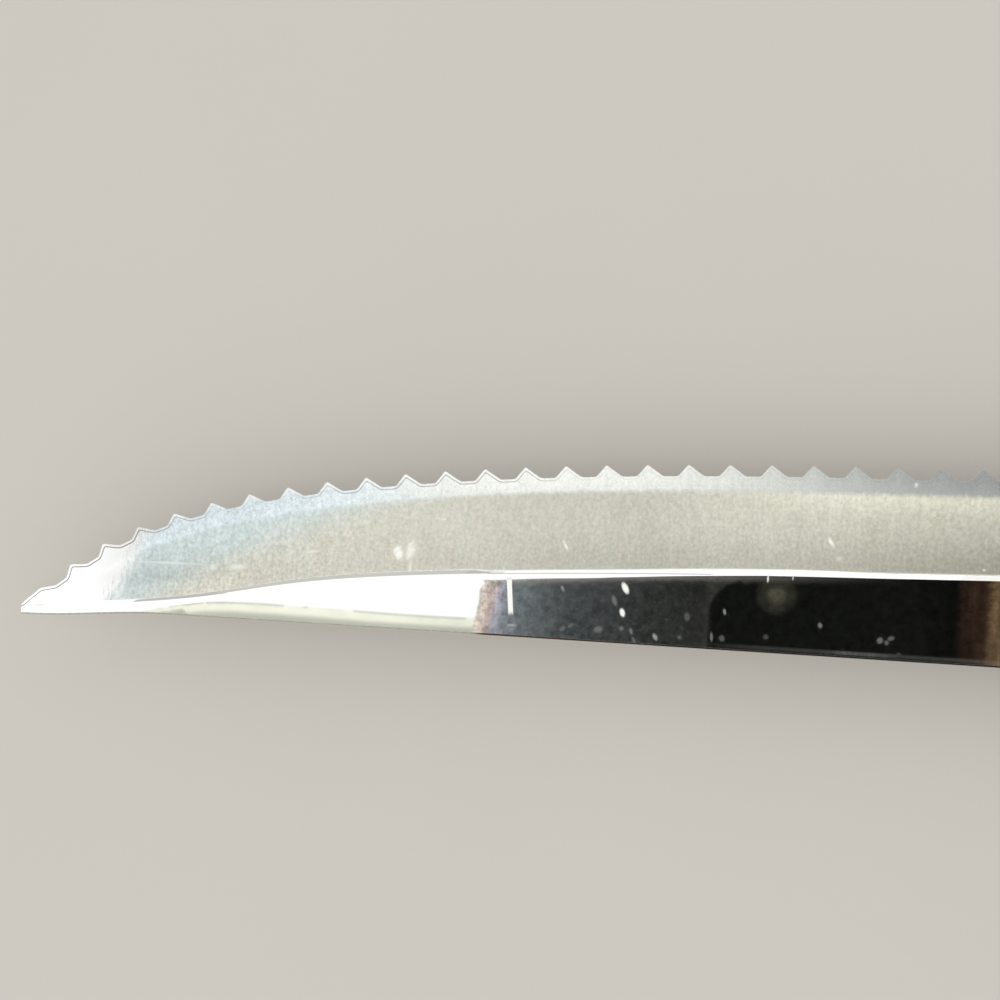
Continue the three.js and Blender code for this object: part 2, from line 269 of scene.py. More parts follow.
def half_thickness(points):
    """Half the thickness at points of the blade: level beside the spine, then falling over the shoulder as
    a parabola, through the hollow as a straight line less 4 sag t(1-t), and straight over the band."""
    x, y = points[..., 0], points[..., 1]
    s = blade_lines(x)
    over = np.clip((y - s["grind"]) / s["shoulder"], 0, 1)
    start = s["grind"] + s["shoulder"]
    t = np.clip((y - start) / (s["band"] - start), 0, 1)
    hollow = mix(s["half_back"] - s["drop"], s["half_band"], t) - s["sag"] * 4 * t * (1 - t)
    past = np.clip((y - s["band"]) / (s["edge"] - s["band"]), 0, 1)
    ground = np.where(y < start, s["half_back"] - s["drop"] * over ** 2,
                      np.where(y < s["band"], hollow, mix(s["half_band"], s["half_edge"], past)))
    half = mix(ground, s["half_back"], s["run_out"])
    return half - np.clip(s["spine"] + s["chamfer"] - y, 0, None)


# Serrated edge

RUN = 1 / math.tan(math.radians(GULLET_GRIND_ANGLE))
FLANK_SHIFT = (HANDLE_FLANK_LENGTH - TIP_FLANK_LENGTH) / 2
HALF_FLOOR = (TOOTH_PITCH - TOOTH_TIP_FLAT - HANDLE_FLANK_LENGTH - TIP_FLANK_LENGTH) / 2


def at_arc(arc, values):
    """Values of the edge curve's points, at a length along the curve."""
    return np.stack([np.interp(arc, EDGE_ARC, values[:, i]) for i in (0, 1)], axis=-1)


def gullet_frame(index):
    """Middle of a gullet on the edge curve, the edge's direction there and the direction out of the blade."""
    arc = FIRST_TOOTH + (index + 0.5) * TOOTH_PITCH
    middle, along = at_arc(arc, EDGE), at_arc(arc, EDGE_SLOPE)
    out = np.array((-along[1], along[0]))
    depth = mix(FIRST_GULLET_DEPTH, GULLET_DEPTH, min(middle[0] / GULLET_DEEPEN_REACH, 1))
    return middle, along, out, depth


def gullet_profile(depth):
    """Points of one gullet's outline at the upper face: a flank, a quadratic corner, the flat floor, a
    corner and the other flank. The flanks run on past the tooth tips."""
    near, far = HANDLE_FLANK_LENGTH / depth, TIP_FLANK_LENGTH / depth
    t = np.linspace(0, 1, CORNER_STEPS + 1)[:, None]

    def corner(start, middle, end):
        return (1 - t) ** 2 * np.array(start) + 2 * (1 - t) * t * np.array(middle) + t ** 2 * np.array(end)

    c, h = GULLET_CORNER, HALF_FLOOR
    past = 2 * depth
    points = np.concatenate((
        [(-h - near * past, past)], corner((-h - near * c, c), (-h, 0), (-h + c, 0)),
        corner((h - c, 0), (h, 0), (h + far * c, c)), [(h + far * past, past)]))
    return points + (FLANK_SHIFT, -depth)


def facet_columns(points, index):
    """Where columns that start at points on the edge line meet the facet of one gullet. The facet rises
    outwards at the grinding angle, so a column leaves the edge at z = UPPER_FACE + (v - g(u)) / RUN, with
    v out of the blade and g the gullet's outline, and it reaches the lower face at
    v = g - RUN (UPPER_FACE + half)."""
    middle, along, out, depth = gullet_frame(index)
    profile = gullet_profile(depth)
    u, v = (points - middle) @ along, (points - middle) @ out
    outline = np.interp(u, profile[:, 0], profile[:, 1])
    half = half_thickness(points)
    low = np.clip(UPPER_FACE + (v - outline) / RUN, -half, half)
    inner = points.copy()
    for _ in range(SOLVING_ROUNDS):
        reach = np.clip(v - outline + RUN * (UPPER_FACE + half_thickness(inner)), 0, None)
        inner = points - reach[:, None] * out
    return low, inner


def gullet_columns(index):
    """Edge points of one gullet, from tooth tip to tooth tip, where the facet meets the upper face."""
    middle, along, out, depth = gullet_frame(index)
    profile = gullet_profile(depth)
    c = GULLET_CORNER
    left, right = -TOOTH_PITCH / 2, TOOTH_PITCH / 2
    first_corner, last_corner = profile[1, 0], profile[-2, 0]
    floor = profile[CORNER_STEPS + 1, 0], profile[-2 - CORNER_STEPS, 0]
    u = np.concatenate((
        np.linspace(left, first_corner, FLANK_STEPS, endpoint=False), profile[1:CORNER_STEPS + 1, 0],
        np.linspace(*floor, FLOOR_STEPS, endpoint=False), profile[-2 - CORNER_STEPS:-2, 0],
        np.linspace(last_corner, right, FLANK_STEPS + 1)))
    outline = np.interp(u, profile[:, 0], profile[:, 1])
    v = outline.copy()
    for _ in range(SOLVING_ROUNDS):
        points = middle + u[:, None] * along + v[:, None] * out
        v = outline + RUN * (half_thickness(points) - UPPER_FACE)
    points = middle + u[:, None] * along + v[:, None] * out
    points[:, 1] = np.minimum(points[:, 1], edge_line(points[:, 0]))
    low, inner = facet_columns(points, index)
    return points, low, inner


def plain_columns(start_arc, end_arc, count, index):
    """Edge points on a plain stretch of the edge, beside the gullet of that index."""
    points = at_arc(np.linspace(start_arc, end_arc, count), EDGE)
    low, inner = facet_columns(points, index)
    return points, low, inner


def edge_columns():
    """All columns of the blade from tip to heel: the edge point, the foot of its upright wall and the inner
    end of its facet."""
    gullets = [gullet_columns(k) for k in range(GULLET_COUNT)]
    for before, after in zip(gullets, gullets[1:]):
        for part_before, part_after in zip(before, after):
            shared = (part_before[-1] + part_after[0]) / 2
            part_before[-1] = shared
            part_after[0] = shared
    last_start = FIRST_TOOTH + GULLET_COUNT * TOOTH_PITCH
    nose = plain_columns(0, FIRST_TOOTH, NOSE_COLUMNS, 0)
    heel = plain_columns(last_start, EDGE_ARC[-1], HEEL_COLUMNS, GULLET_COUNT - 1)
    parts = [[p[:-1] for p in nose]] + [[p[:-1] for p in g] for g in gullets] + [heel]
    edge, low, inner = [np.concatenate([p[i] for p in parts]) for i in (0, 1, 2)]
    step = COLUMN_STEP * np.arange(len(inner))
    inner[:, 0] = np.maximum.accumulate(inner[:, 0] - step) + step
    return edge, low, inner


# Meshes

def add_object(name, data):
    made = bpy.data.objects.new(name, data)
    bpy.context.scene.collection.objects.link(made)
    return made


def add_mesh(name, points, faces, finishes, values):
    """A mesh from points in millimetres, with the values of each point that the finishes read."""
    mesh = bpy.data.meshes.new(name)
    mesh.from_pydata(placed(points).tolist(), [], faces)
    for finish in finishes:
        mesh.materials.append(finish)
    for key, value in dict(values).items():
        mesh.attributes.new(key, "FLOAT", "POINT").data.foreach_set("value", value.astype(np.float32))
    return mesh


def add_piece(name, points, faces, finishes, indices=None, values=()):
    """A mesh object whose corners are merged where they coincide, so poles close."""
    mesh = add_mesh(name, points, faces, finishes, values)
    if indices is not None:
        mesh.polygons.foreach_set("material_index", indices)
    work = bmesh.new()
    work.from_mesh(mesh)
    bmesh.ops.remove_doubles(work, verts=work.verts, dist=MM * MERGE_DISTANCE)
    bmesh.ops.dissolve_degenerate(work, edges=work.edges, dist=MM * MERGE_DISTANCE)
    bmesh.ops.recalc_face_normals(work, faces=work.faces)
    work.to_mesh(mesh)
    work.free()
    return smooth(add_object(name, mesh))


def smooth(piece):
    piece.data.shade_smooth()
    piece.data.set_sharp_from_angle(angle=math.radians(SHARP_ANGLE))
    return piece


def tube_faces(columns, rows):
    """Quads of a grid that closes around its rows, and one face at each end."""
    i, j = np.meshgrid(np.arange(columns - 1), np.arange(rows), indexing="ij")
    k = (j + 1) % rows
    quads = np.stack((i * rows + j, i * rows + k, (i + 1) * rows + k, (i + 1) * rows + j), axis=-1)
    first = np.arange(rows)
    return quads.reshape(-1, 4).tolist(), [first[::-1].tolist(), (first + (columns - 1) * rows).tolist()]


def drill(piece, cutters):
    """Cuts turned holes out of a piece and keeps the result as its mesh."""
    cutter = turned_solids("cutter", cutters, [])
    hole = piece.modifiers.new("holes", "BOOLEAN")
    hole.object, hole.operation, hole.solver = cutter, "DIFFERENCE", "EXACT"
    graph = bpy.context.evaluated_depsgraph_get()
    cut = bpy.data.meshes.new_from_object(piece.evaluated_get(graph), depsgraph=graph)
    piece.modifiers.clear()
    piece.data = cut
    bpy.data.objects.remove(cutter)
    return smooth(piece)


def turned_solids(name, solids, finishes):
    """One object of turned solids: each profile of (radius, z) is carried round an upright axis at its
    place."""
    turn = np.linspace(0, 2 * np.pi, TURN_SEGMENTS, endpoint=False)
    points, faces = [], []
    for (x, y), profile in solids:
        r, z = np.array(profile, float).T
        start = sum(len(p) for p in points)
        ring = np.stack((x + np.outer(r, np.cos(turn)), y + np.outer(r, np.sin(turn)),
                         np.outer(z, np.ones_like(turn))), axis=-1)
        quads, _ = tube_faces(len(profile), TURN_SEGMENTS)
        points.append(ring.reshape(-1, 3))
        faces += [[start + c for c in quad] for quad in quads]
    return add_piece(name, np.concatenate(points), faces, finishes)


# Pieces

def blade_heights(x):
    """Heights of the section's rows from the spine to the band line, for each column."""
    s = blade_lines(x)
    rows = [s["spine"], s["spine"] + s["chamfer"]]
    rows += [mix(s["spine"] + s["chamfer"], s["grind"], t) for t in FLAT_SHARES]
    rows += [s["grind"] + s["shoulder"] * t for t in np.linspace(0, 1, SHOULDER_STEPS + 1)[1:]]
    start = s["grind"] + s["shoulder"]
    rows += [mix(start, s["band"], t) for t in np.linspace(0, 1, HOLLOW_STEPS + 1)[1:]]
    return np.stack(rows, axis=1)


def distance_to_outline(points, outline):
    """Shortest distance from each point to the outline's line of points."""
    start, step = outline[:-1], np.diff(outline, axis=0)
    length = np.maximum((step ** 2).sum(1), SHORTEST_STEP)
    t = np.clip(((points[:, None] - start) * step).sum(2) / length, 0, 1)
    return np.linalg.norm(points[:, None] - start - t[..., None] * step, axis=2).min(1)


def along_columns(start, end, shares):
    """Points at the given shares of the way from start to end, one row of points for each column."""
    return mix(start[:, None], end[:, None], np.asarray(shares)[..., None])


def handle_columns():
    """Stations along the handle, closer together where its ends are round."""
    turn = np.linspace(0, np.pi / 2, END_COLUMNS)
    front = BLADE_LENGTH + FRONT_ROUND_LENGTH * (1 - np.cos(turn))
    butt = KNIFE_LENGTH - BUTT_ROUND_LENGTH * (1 - np.sin(turn))
    middle = np.linspace(front[-1], butt[0], HANDLE_COLUMNS)
    return np.concatenate((front, middle[1:-1], butt))


def blade_surface():
    """Ring of points for each column, spine to edge over the upper face and back over the lower face, with
    the height of every row, and what the finishes need: distances along, from the grind line, the band
    line and the serrated outline."""
    edge, low, inner = edge_columns()
    x = inner[:, 0]
    rows = blade_heights(x)
    count = rows.shape[1]
    base = np.stack((np.repeat(x[:, None], count, 1), rows), axis=2)

    band = base[:, -1]
    reach = np.linalg.norm(edge - band, axis=1)
    shares = [np.minimum(r / reach, LARGEST_RIM_SHARE) for r in RIM_ROWS[::-1]]
    rim = along_columns(edge, band, np.stack(shares, axis=1))
    upper = np.concatenate((base, rim), axis=1)
    upper_half = half_thickness(upper)

    down_facet = np.linspace(0, 1, FACET_STEPS + 1)
    facet = along_columns(edge, inner, np.tile(down_facet, (len(x), 1)))
    facet_z = mix(low[:, None], -half_thickness(inner)[:, None], down_facet)
    past_facet = np.linspace(0, 1, BEYOND_FACET_STEPS + 1)[1:-1]
    beyond = along_columns(inner, band, np.tile(past_facet, (len(x), 1)))
    under = np.concatenate((beyond, base[:, ::-1]), axis=1)
    under[..., 1] = np.minimum(under[..., 1], inner[:, None, 1])
    under_z = -half_thickness(under)

    plan = np.concatenate((upper, facet, under), axis=1)
    z = np.concatenate((upper_half, facet_z, under_z), axis=1)
    return np.concatenate((plan, z[..., None]), axis=2), upper.shape[1]


def tang_surface(blade_rings):
    """The same rows carried on along the handle: each keeps its share of the way from back to belly."""
    x = handle_columns()[1:]
    last = blade_rings[-1]
    share = (last[:, 1] - last[0, 1]) / (last[:, 1].max() - last[0, 1])
    y = mix(back_line(x)[:, None], belly_line(x)[:, None], share)
    z = np.repeat(last[None, :, 2], len(x), 0)
    return np.stack((np.repeat(x[:, None], len(share), 1), y, z), axis=2)


def build_blade(steel, facets):
    rings, upper_rows = blade_surface()
    rings = np.concatenate((rings, tang_surface(rings)))
    columns, rows = rings.shape[:2]
    quads, ends = tube_faces(columns, rows)
    row = np.tile(np.arange(rows), columns - 1)
    on_facet = (row >= upper_rows) & (row < upper_rows + FACET_STEPS)
    indices = np.concatenate((on_facet.astype(np.int32), np.zeros(2, np.int32)))

    points = rings.reshape(-1, 3)
    x, y = points[:, 0], points[:, 1]
    s = blade_lines(np.minimum(x, BLADE_LENGTH))
    outline = edge_columns()[0]
    near = (s["edge"] - y < RIM_REACH) & (x < BLADE_LENGTH)
    rim = np.full(len(points), RIM_REACH)
    rim[near] = np.minimum(distance_to_outline(points[near, :2], outline), RIM_REACH)
    values = {"along": x, "from_spine": y - s["spine"], "from_grind": y - s["grind"],
              "from_edge": s["edge"] - y, "rim": rim}
    piece = add_piece("blade_ground", points, quads + ends, [steel, facets], indices, values)
    hole = BARREL_RADIUS + RIVET_CLEARANCE
    past = HALF_SPINE + OVERRUN
    straight = [(0, -past), (hole, -past), (hole, past), (0, past)]
    return drill(piece, [(place, straight) for place in RIVET_PLACES])


def build_scale(name, side, wood):
    """A scale's rings: flat on the tang, a low upright side, a quarter ellipse up to the flat face, and
    back down. Its height follows quarter ellipses at the front and the butt, whose corners are softened."""
    x = np.concatenate((handle_columns(), END_SOFTENING_STATIONS))
    x.sort()
    from_front, from_butt = x - BLADE_LENGTH, KNIFE_LENGTH - x

    def rise(distance, length, edge_height):
        t = 1 - np.clip(distance / length, 0, 1)
        return mix(edge_height, SCALE_THICKNESS, np.sqrt(1 - t * t))

    past = SCALE_END_SOFTENING - np.clip(np.minimum(from_front, from_butt), 0, SCALE_END_SOFTENING)
    inset = SCALE_END_SOFTENING - np.sqrt(SCALE_END_SOFTENING ** 2 - past ** 2)
    height = np.minimum(rise(from_front, FRONT_ROUND_LENGTH, FRONT_EDGE_HEIGHT),
                        rise(from_butt, BUTT_ROUND_LENGTH, BUTT_EDGE_HEIGHT)) - inset
    back, belly = back_line(x) + inset, belly_line(x) - inset
    round_height = np.minimum(SIDE_ROUND_HEIGHT, height - SIDE_EDGE_HEIGHT)
    wall = HALF_SPINE + height - round_height
    turn = np.linspace(0, np.pi / 2, SCALE_ARC_STEPS + 1)
    belly_y = belly[:, None] - SIDE_ROUND_WIDTH * (1 - np.cos(turn))
    back_y = back[:, None] + SIDE_ROUND_WIDTH * (1 - np.cos(turn[::-1]))
    arc_z = wall[:, None] + round_height[:, None] * np.sin(turn)
    across = np.linspace(0, 1, SCALE_FLAT_STEPS + 1)[1:-1]
    flat_y = mix(belly_y[:, -1:], back_y[:, :1], across)
    flat_z = np.repeat(arc_z[:, -1:], len(across), 1)
    y = np.concatenate((back[:, None], belly[:, None], belly_y, flat_y, back_y), axis=1)
    z = np.concatenate((np.full((len(x), 2), HALF_SPINE), arc_z, flat_z, arc_z[:, ::-1]), axis=1)
    rings = np.stack((np.repeat(x[:, None], y.shape[1], 1), y, z * side), axis=2)
    quads, ends = tube_faces(*rings.shape[:2])
    piece = add_piece(name, rings.reshape(-1, 3), quads + ends, [wood])

    hole, bore = BARREL_RADIUS + RIVET_CLEARANCE, RIVET_HEAD_RADIUS + RIVET_CLEARANCE
    past = HALF_HANDLE + OVERRUN
    stepped = [(0, -past), (bore, -past), (bore, -HEAD_FLOOR), (hole, -HEAD_FLOOR),
               (hole, HEAD_FLOOR), (bore, HEAD_FLOOR), (bore, past), (0, past)]
    return drill(piece, [(place, stepped) for place in RIVET_PLACES])


def female_profile():
    """Head with a tube, from the outer face up to the tube's mouth and down its bore."""
    soft, bore_end = RIVET_HEAD_SOFTENING, -SHANK_REACH - BORE_END_GAP
    return [(0, -HALF_HANDLE), (RIVET_HEAD_RADIUS - soft, -HALF_HANDLE),
            (RIVET_HEAD_RADIUS, soft - HALF_HANDLE), (RIVET_HEAD_RADIUS, -HEAD_FLOOR),
            (BARREL_RADIUS, -HEAD_FLOOR), (BARREL_RADIUS, BARREL_REACH), (BORE_RADIUS, BARREL_REACH),
            (BORE_RADIUS, bore_end), (0, bore_end)]


def male_profile():
    """Head with a solid shank, from the shank's tip up to the outer face."""
    shank = BORE_RADIUS - RIVET_CLEARANCE
    soft = RIVET_HEAD_SOFTENING
    return [(0, -SHANK_REACH), (shank - SHANK_TIP_CHAMFER, -SHANK_REACH),
            (shank, SHANK_TIP_CHAMFER - SHANK_REACH), (shank, HEAD_FLOOR), (RIVET_HEAD_RADIUS, HEAD_FLOOR),
            (RIVET_HEAD_RADIUS, HALF_HANDLE - soft), (RIVET_HEAD_RADIUS - soft, HALF_HANDLE),
            (0, HALF_HANDLE)]


# Finishes

def math_node(operation, swapped=False):
    """A method of Signal that adds one Math node."""
    def method(signal, other=0.0):
        first, second = (other, signal) if swapped else (signal, other)
        return signal.finish.signal("ShaderNodeMath", {"operation": operation}, {0: first, 1: second})
    return method


class Signal:
    """A number, vector or colour that varies over a surface. Arithmetic on a number adds Math nodes."""

    def __init__(self, finish, socket):
        self.finish, self.socket = finish, socket

    __add__, __radd__ = math_node("ADD"), math_node("ADD", swapped=True)
    __sub__, __rsub__ = math_node("SUBTRACT"), math_node("SUBTRACT", swapped=True)
    __mul__, __rmul__ = math_node("MULTIPLY"), math_node("MULTIPLY", swapped=True)
    __truediv__ = math_node("DIVIDE")
    larger, smaller = math_node("MAXIMUM"), math_node("MINIMUM")
    size, sine = math_node("ABSOLUTE"), math_node("SINE")

    def ramp(self, start, end):
        """0 at start, 1 at end, eased between them."""
        return self.finish.signal("ShaderNodeMapRange", {"interpolation_type": "SMOOTHSTEP"}, {
            "Value": self, "From Min": min(start, end), "From Max": max(start, end),
            "To Min": 0.0 if start < end else 1.0, "To Max": 1.0 if start < end else 0.0})

    def band(self, start, full, fading, end):
        """0 at start, 1 from full to fading and 0 at end, eased between them."""
        return self.ramp(start, full) * self.ramp(end, fading)


class Finish:
    """The nodes of a new material, or of the world. Each comes from node(), its settings first and then
    its sockets."""

    def __init__(self, name, world=None):
        self.owner = bpy.data.materials.new(name) if world is None else world
        self.owner.use_nodes = True
        self.tree = self.owner.node_tree
        self.tree.nodes.clear()
        self.place = self.signal("ShaderNodeTexCoord", {}, {}, "Object")

    def node(self, kind, settings, sockets):
        made = self.tree.nodes.new(kind)
        for key, value in settings.items():
            if key == "stops":
                for stop, (position, tint) in zip(stops_of(made, len(value)), value):
                    stop.position, stop.color = position, (*tint, 1)
            else:
                setattr(made, key, value)
        for key, value in sockets.items():
            if isinstance(value, Signal):
                self.tree.links.new(value.socket, made.inputs[key])
            else:
                made.inputs[key].default_value = value
        return made

    def signal(self, kind, settings, sockets, output=0):
        """One output of a new node."""
        return Signal(self, self.node(kind, settings, sockets).outputs[output])

    def value(self, attribute):
        return self.signal("ShaderNodeAttribute", {"attribute_name": attribute}, {}, "Fac")

    def split(self, vector):
        made = self.node("ShaderNodeSeparateXYZ", {}, {0: vector})
        return [Signal(self, out) for out in made.outputs]

    def axes(self):
        return [part / MM for part in self.split(self.place)]

    def noise(self, scale, detail=2.0, roughness=0.5, distortion=0.0, turn=0.0):
        """Noise between about 0 and 1 with the given number of features for each millimetre along x, y
        and z."""
        mapped = self.signal("ShaderNodeMapping", {"vector_type": "POINT"}, {
            "Vector": self.place, "Rotation": (0, 0, turn), "Scale": [s / MM for s in scale]})
        return self.signal("ShaderNodeTexNoise", {"noise_dimensions": "3D"}, {
            "Vector": mapped, "Scale": 1.0, "Detail": detail, "Roughness": roughness,
            "Distortion": distortion}, "Fac")

    def around(self, place, size, turn=0.0):
        """Position seen from a place, in the drawing's millimetres, in units of the size along axes that
        are turned by so many degrees."""
        return self.signal("ShaderNodeMapping", {"vector_type": "TEXTURE"}, {
            "Vector": self.place, "Location": placed(place), "Rotation": (0, 0, math.radians(turn)),
            "Scale": [s * MM for s in size]})

    def length(self, vector):
        return self.signal("ShaderNodeVectorMath", {"operation": "LENGTH"}, {0: vector}, "Value")

    def mark(self, x, y, half_length, half_width, turn, square=False, ragged=0.0):
        """1 inside a small ellipse, or a square-ended bar, on the upper face at x, y in the drawing's
        millimetres, and 0 outside it. A ragged one has an uneven outline."""
        offset = self.around((x, y, HALF_SPINE), (half_length, half_width, MARK_REACH_DOWN), turn)
        if square:
            u, v, w = self.split(offset)
            return u.size().larger(v.size()).larger(w.size()).ramp(*SQUARE_MARK_EDGE)
        return (self.length(offset) + ragged).ramp(*MARK_EDGE)

    def blend(self, factor, first, second):
        """Colour that goes from first to second."""
        return self.signal("ShaderNodeMix", {"data_type": "RGBA"}, {
            0: factor, 6: colour(first), 7: colour(second)}, 2)

    def shade(self, tint, amount):
        """Colour made lighter or darker by a factor."""
        return self.signal("ShaderNodeVectorMath", {"operation": "SCALE"}, {0: tint, "Scale": amount})

    def stops(self, share, stops):
        """Colour at a share of the way along the stops."""
        return self.signal("ShaderNodeValToRGB", {"stops": stops}, {0: share})

    def bump(self, height, distance):
        return self.signal("ShaderNodeBump", {}, {"Height": height, "Distance": distance})

    def end(self, shader, kind="ShaderNodeOutputMaterial"):
        """Makes the shader the surface of the material or the world."""
        self.node(kind, {}, {"Surface": shader})
        return self.owner

    def surface(self, sockets):
        return self.end(self.signal("ShaderNodeBsdfPrincipled", {}, sockets))


def stops_of(ramp_node, count):
    elements = ramp_node.color_ramp.elements
    while len(elements) < count:
        elements.new(0.5)
    return elements


def colour(value):
    return value if isinstance(value, Signal) else (*value, 1)


# Marks of use on the upper face: x, y, half length, half width, turn in degrees and strength.
MARK_REACH_DOWN = 0.6
MARK_EDGE = (1.45, 0.45)
SQUARE_MARK_EDGE = (1.15, 0.75)
GROUND_MARK_RAGGEDNESS = 2.2
FLAT_MARKS = (
    (67.29, 5.95, 0.6, 0.29, 118, 1), (67.11, 3.33, 0.44, 0.26, 108, 1),
    (66.19, 4.55, 0.57, 0.26, 110, 0.14), (60.58, 5.49, 0.38, 0.17, 118, 0.14),
    (55.31, 1.25, 0.53, 0.14, 3, 0.22), (74.01, 3.3, 0.47, 0.3, 100, 0.09),
    (77.94, 4.09, 0.33, 0.16, 105, 0.25), (87.99, 3.27, 0.3, 0.23, 100, 0.19),
    (94.27, 2.08, 0.34, 0.3, 60, 0.17), (94.96, 1.9, 0.25, 0.26, 20, 0.12),
    (95.39, 2.37, 0.36, 0.24, 20, 0.12), (76.7, 1.34, 0.48, 0.16, 95, 0.18),
    (77.8, 1.26, 0.34, 0.29, 110, 0.11), (82.41, 1.71, 0.29, 0.26, 0, 0.07),
    (68.15, 1.41, 0.34, 0.18, 110, 0.16), (70.74, 0.97, 0.4, 0.22, 120, 0.32),
    (68.47, 0.5, 0.34, 0.16, 120, 0.12), (73.34, 1.09, 0.25, 0.23, 0, 0.09),
    (64.62, 1.39, 0.5, 0.34, 20, 0.13), (67.11, 1.65, 0.25, 0.26, 0, 0.12),
    (60.83, 1.26, 0.34, 0.26, 40, 0.1), (61.64, 1.61, 0.34, 0.2, 40, 0.09),
    (96.25, 0.73, 0.25, 0.21, 0, 0.06), (82.3, 7.83, 0.36, 0.11, 90, 0.7),
    (84.91, 8.04, 0.2, 0.09, 90, 0.4),
)
# A pale square-ended bar across the flat: x, y, half length, half width and turn in degrees.
TICK = (54.93, 4.38, 1.93, 0.27, 95.8)
GROUND_MARKS = (
    (42.39, 8.32, 0.75, 0.5, 110, 1.0), (43.75, 8.78, 1.1, 0.55, 75, 0.75),
    (43.84, 6.9, 0.7, 0.2, 90, 0.45), (60.55, 10.19, 0.66, 0.14, 118, 0.9),
    (88.72, 12.07, 0.62, 0.2, 118, 1.0), (79.25, 14.49, 0.6, 0.1, 98, 0.5),
    (16.6, 5.72, 3.9, 0.14, 1, 0.55), (77.16, 13.29, 1.3, 0.12, 0, 0.3), (97.24, 18.60, 0.32, 0.28, 0, 0.9),
    (80.06, 18.16, 0.34, 0.26, 0, 0.7), (84.25, 18.38, 0.3, 0.22, 0, 0.3), (30.28, 7.50, 0.7, 0.16, 30, 0.4),
    (32.71, 7.89, 1.0, 0.18, 8, 0.45), (24.6, 5.75, 1.0, 0.32, 5, 0.55), (21.8, 5.55, 0.4, 0.35, 5, 0.6),
    (30.18, 11.26, 0.5, 0.2, 90, 0.6), (89.59, 10.42, 0.32, 0.28, 0, 0.3), (76.98, 11.82, 0.4, 0.3, 0, 0.15),
    (104.54, 10.10, 0.16, 0.13, 0, 0.6), (81.36, 13.61, 0.28, 0.16, 0, 0.3),
    (81.62, 16.50, 0.38, 0.14, 95, 0.35),
)


# Edges of the blade's finishes, in millimetres. Two places are where one is 0 and where it is 1. Four are
# where it starts, is full, starts to fade and ends.
GROUND_START = (SHOULDER_WIDTH - 0.09, SHOULDER_WIDTH + 0.03)
# Where the painted highlight along the crest of the shoulder lies.
CREST_HIGHLIGHT_BAND = (SHOULDER_WIDTH - 0.2, SHOULDER_WIDTH - 0.1, SHOULDER_WIDTH, SHOULDER_WIDTH + 0.09)
BAND_START = (BAND_WIDTH + 0.3, BAND_WIDTH - 0.4)
BUFFED_END = (16.4, 12.8)
HANDLE_START = (BLADE_LENGTH - 1.5, BLADE_LENGTH)
# Where the thin line of painted shade inside the serrated outline lies.
EDGE_SHADE_BAND = (0.2, 0.26, 0.3, 0.37)
GLINT_WIDTH = (0.36, 0.2)
GLINT_BESIDE_EDGE = (1.1, 0.7)
# Where the spine's chamfer is painted dark.
CHAMFER_SHADE_BAND = (0.0, 0.05, 0.2, 0.25)
# Where the faint painted highlight beside the spine's chamfer lies.
LIP_HIGHLIGHT_BAND = (0.24, 0.46, 0.58, 0.86)

# Sums along and across the blade: each amount counts where all its stretches are 1. A stretch is the name
# of a distance with its two or four places.
SATIN_SHIFTS = ((0.2, ("along", 50, 53, 60, 80)), (0.18, ("along", 84, 96)))
CREST_HIGHLIGHT_STRENGTHS = ((0.12,), (0.75, ("along", 46, 54)))
HAZE_STRENGTHS = ((0.008,), (0.05, ("along", 80, 68)))
GRAIN_STRENGTHS = ((1.0,), (0.4, ("along", 44, 30)))
BAND_SMOOTHNESS = ((0.2,), (0.45, ("along", 74, 90)))
LIP_HIGHLIGHT_STRENGTHS = ((0.045, ("along", 73, 85)), (0.05, ("along", 73, 85), ("along", 88, 91, 93, 97)))
EDGE_SHADE_STRENGTHS = ((0.1,), (0.45, ("along", 15, 12.5)), (0.4, ("along", 25, 17)),
                  (0.5, ("along", 28, 38, 52, 64)))
# Painted shade and painted light over the hollow: darker near the shoulder towards the heel, lighter beside
# the band towards the heel, with smaller steps along the blade.
HOLLOW_PAINTED_SHADING = (
    (1.0,), (0.06, ("along", 40, 108)), (-0.02, ("from_grind", 6.5, 0.5)),
    (-0.26, ("from_grind", 6.5, 0.5), ("along", 40, 108)), (0.24, ("from_edge", 6.0, 3.2), ("along", 72, 92)),
    (0.07, ("along", 68, 84, 88, 98)), (-0.05, ("along", 48, 60, 68, 76)),
    (-0.15, ("along", 25, 15), ("from_grind", 8, 2)), (0.16, ("along", 28, 21), ("from_grind", 3.4, 1.8)),
    (0.02, ("along", 24, 32, 42, 50)), (-0.08, ("along", 96, 108)),
)

HOLLOW_WARM, HOLLOW_PALE, HOLLOW_PINK = (0.655, 0.64, 0.555), (0.68, 0.685, 0.63), (0.695, 0.655, 0.60)
# Colours of painted reflections in the hollow: olive towards the heel, blue towards the tip.
HOLLOW_REFLECTED_OLIVE, HOLLOW_REFLECTED_BLUE = (0.66, 0.65, 0.54), (0.615, 0.705, 0.72)
# Band colours: a painted blue reflection near the tip, pale, and painted shade towards the heel.
BAND_REFLECTED_BLUE, BAND_PALE, BAND_PAINTED_SHADE = (0.74, 0.82, 0.87), (0.80, 0.81, 0.79), (0.50, 0.515, 0.52)
POLISHED_COLOUR, BUFFED_COLOUR = (0.91, 0.91, 0.90), (0.98, 0.98, 0.97)
# Colours of the painted highlight along the crest, of the painted shade inside the serrated outline and of
# the painted glints on the teeth.
CREST_HIGHLIGHT_COLOUR, EDGE_SHADE_COLOUR, GLINT_COLOUR = (0.98, 0.98, 0.93), (0.17, 0.15, 0.17), (0.98, 0.95, 0.94)
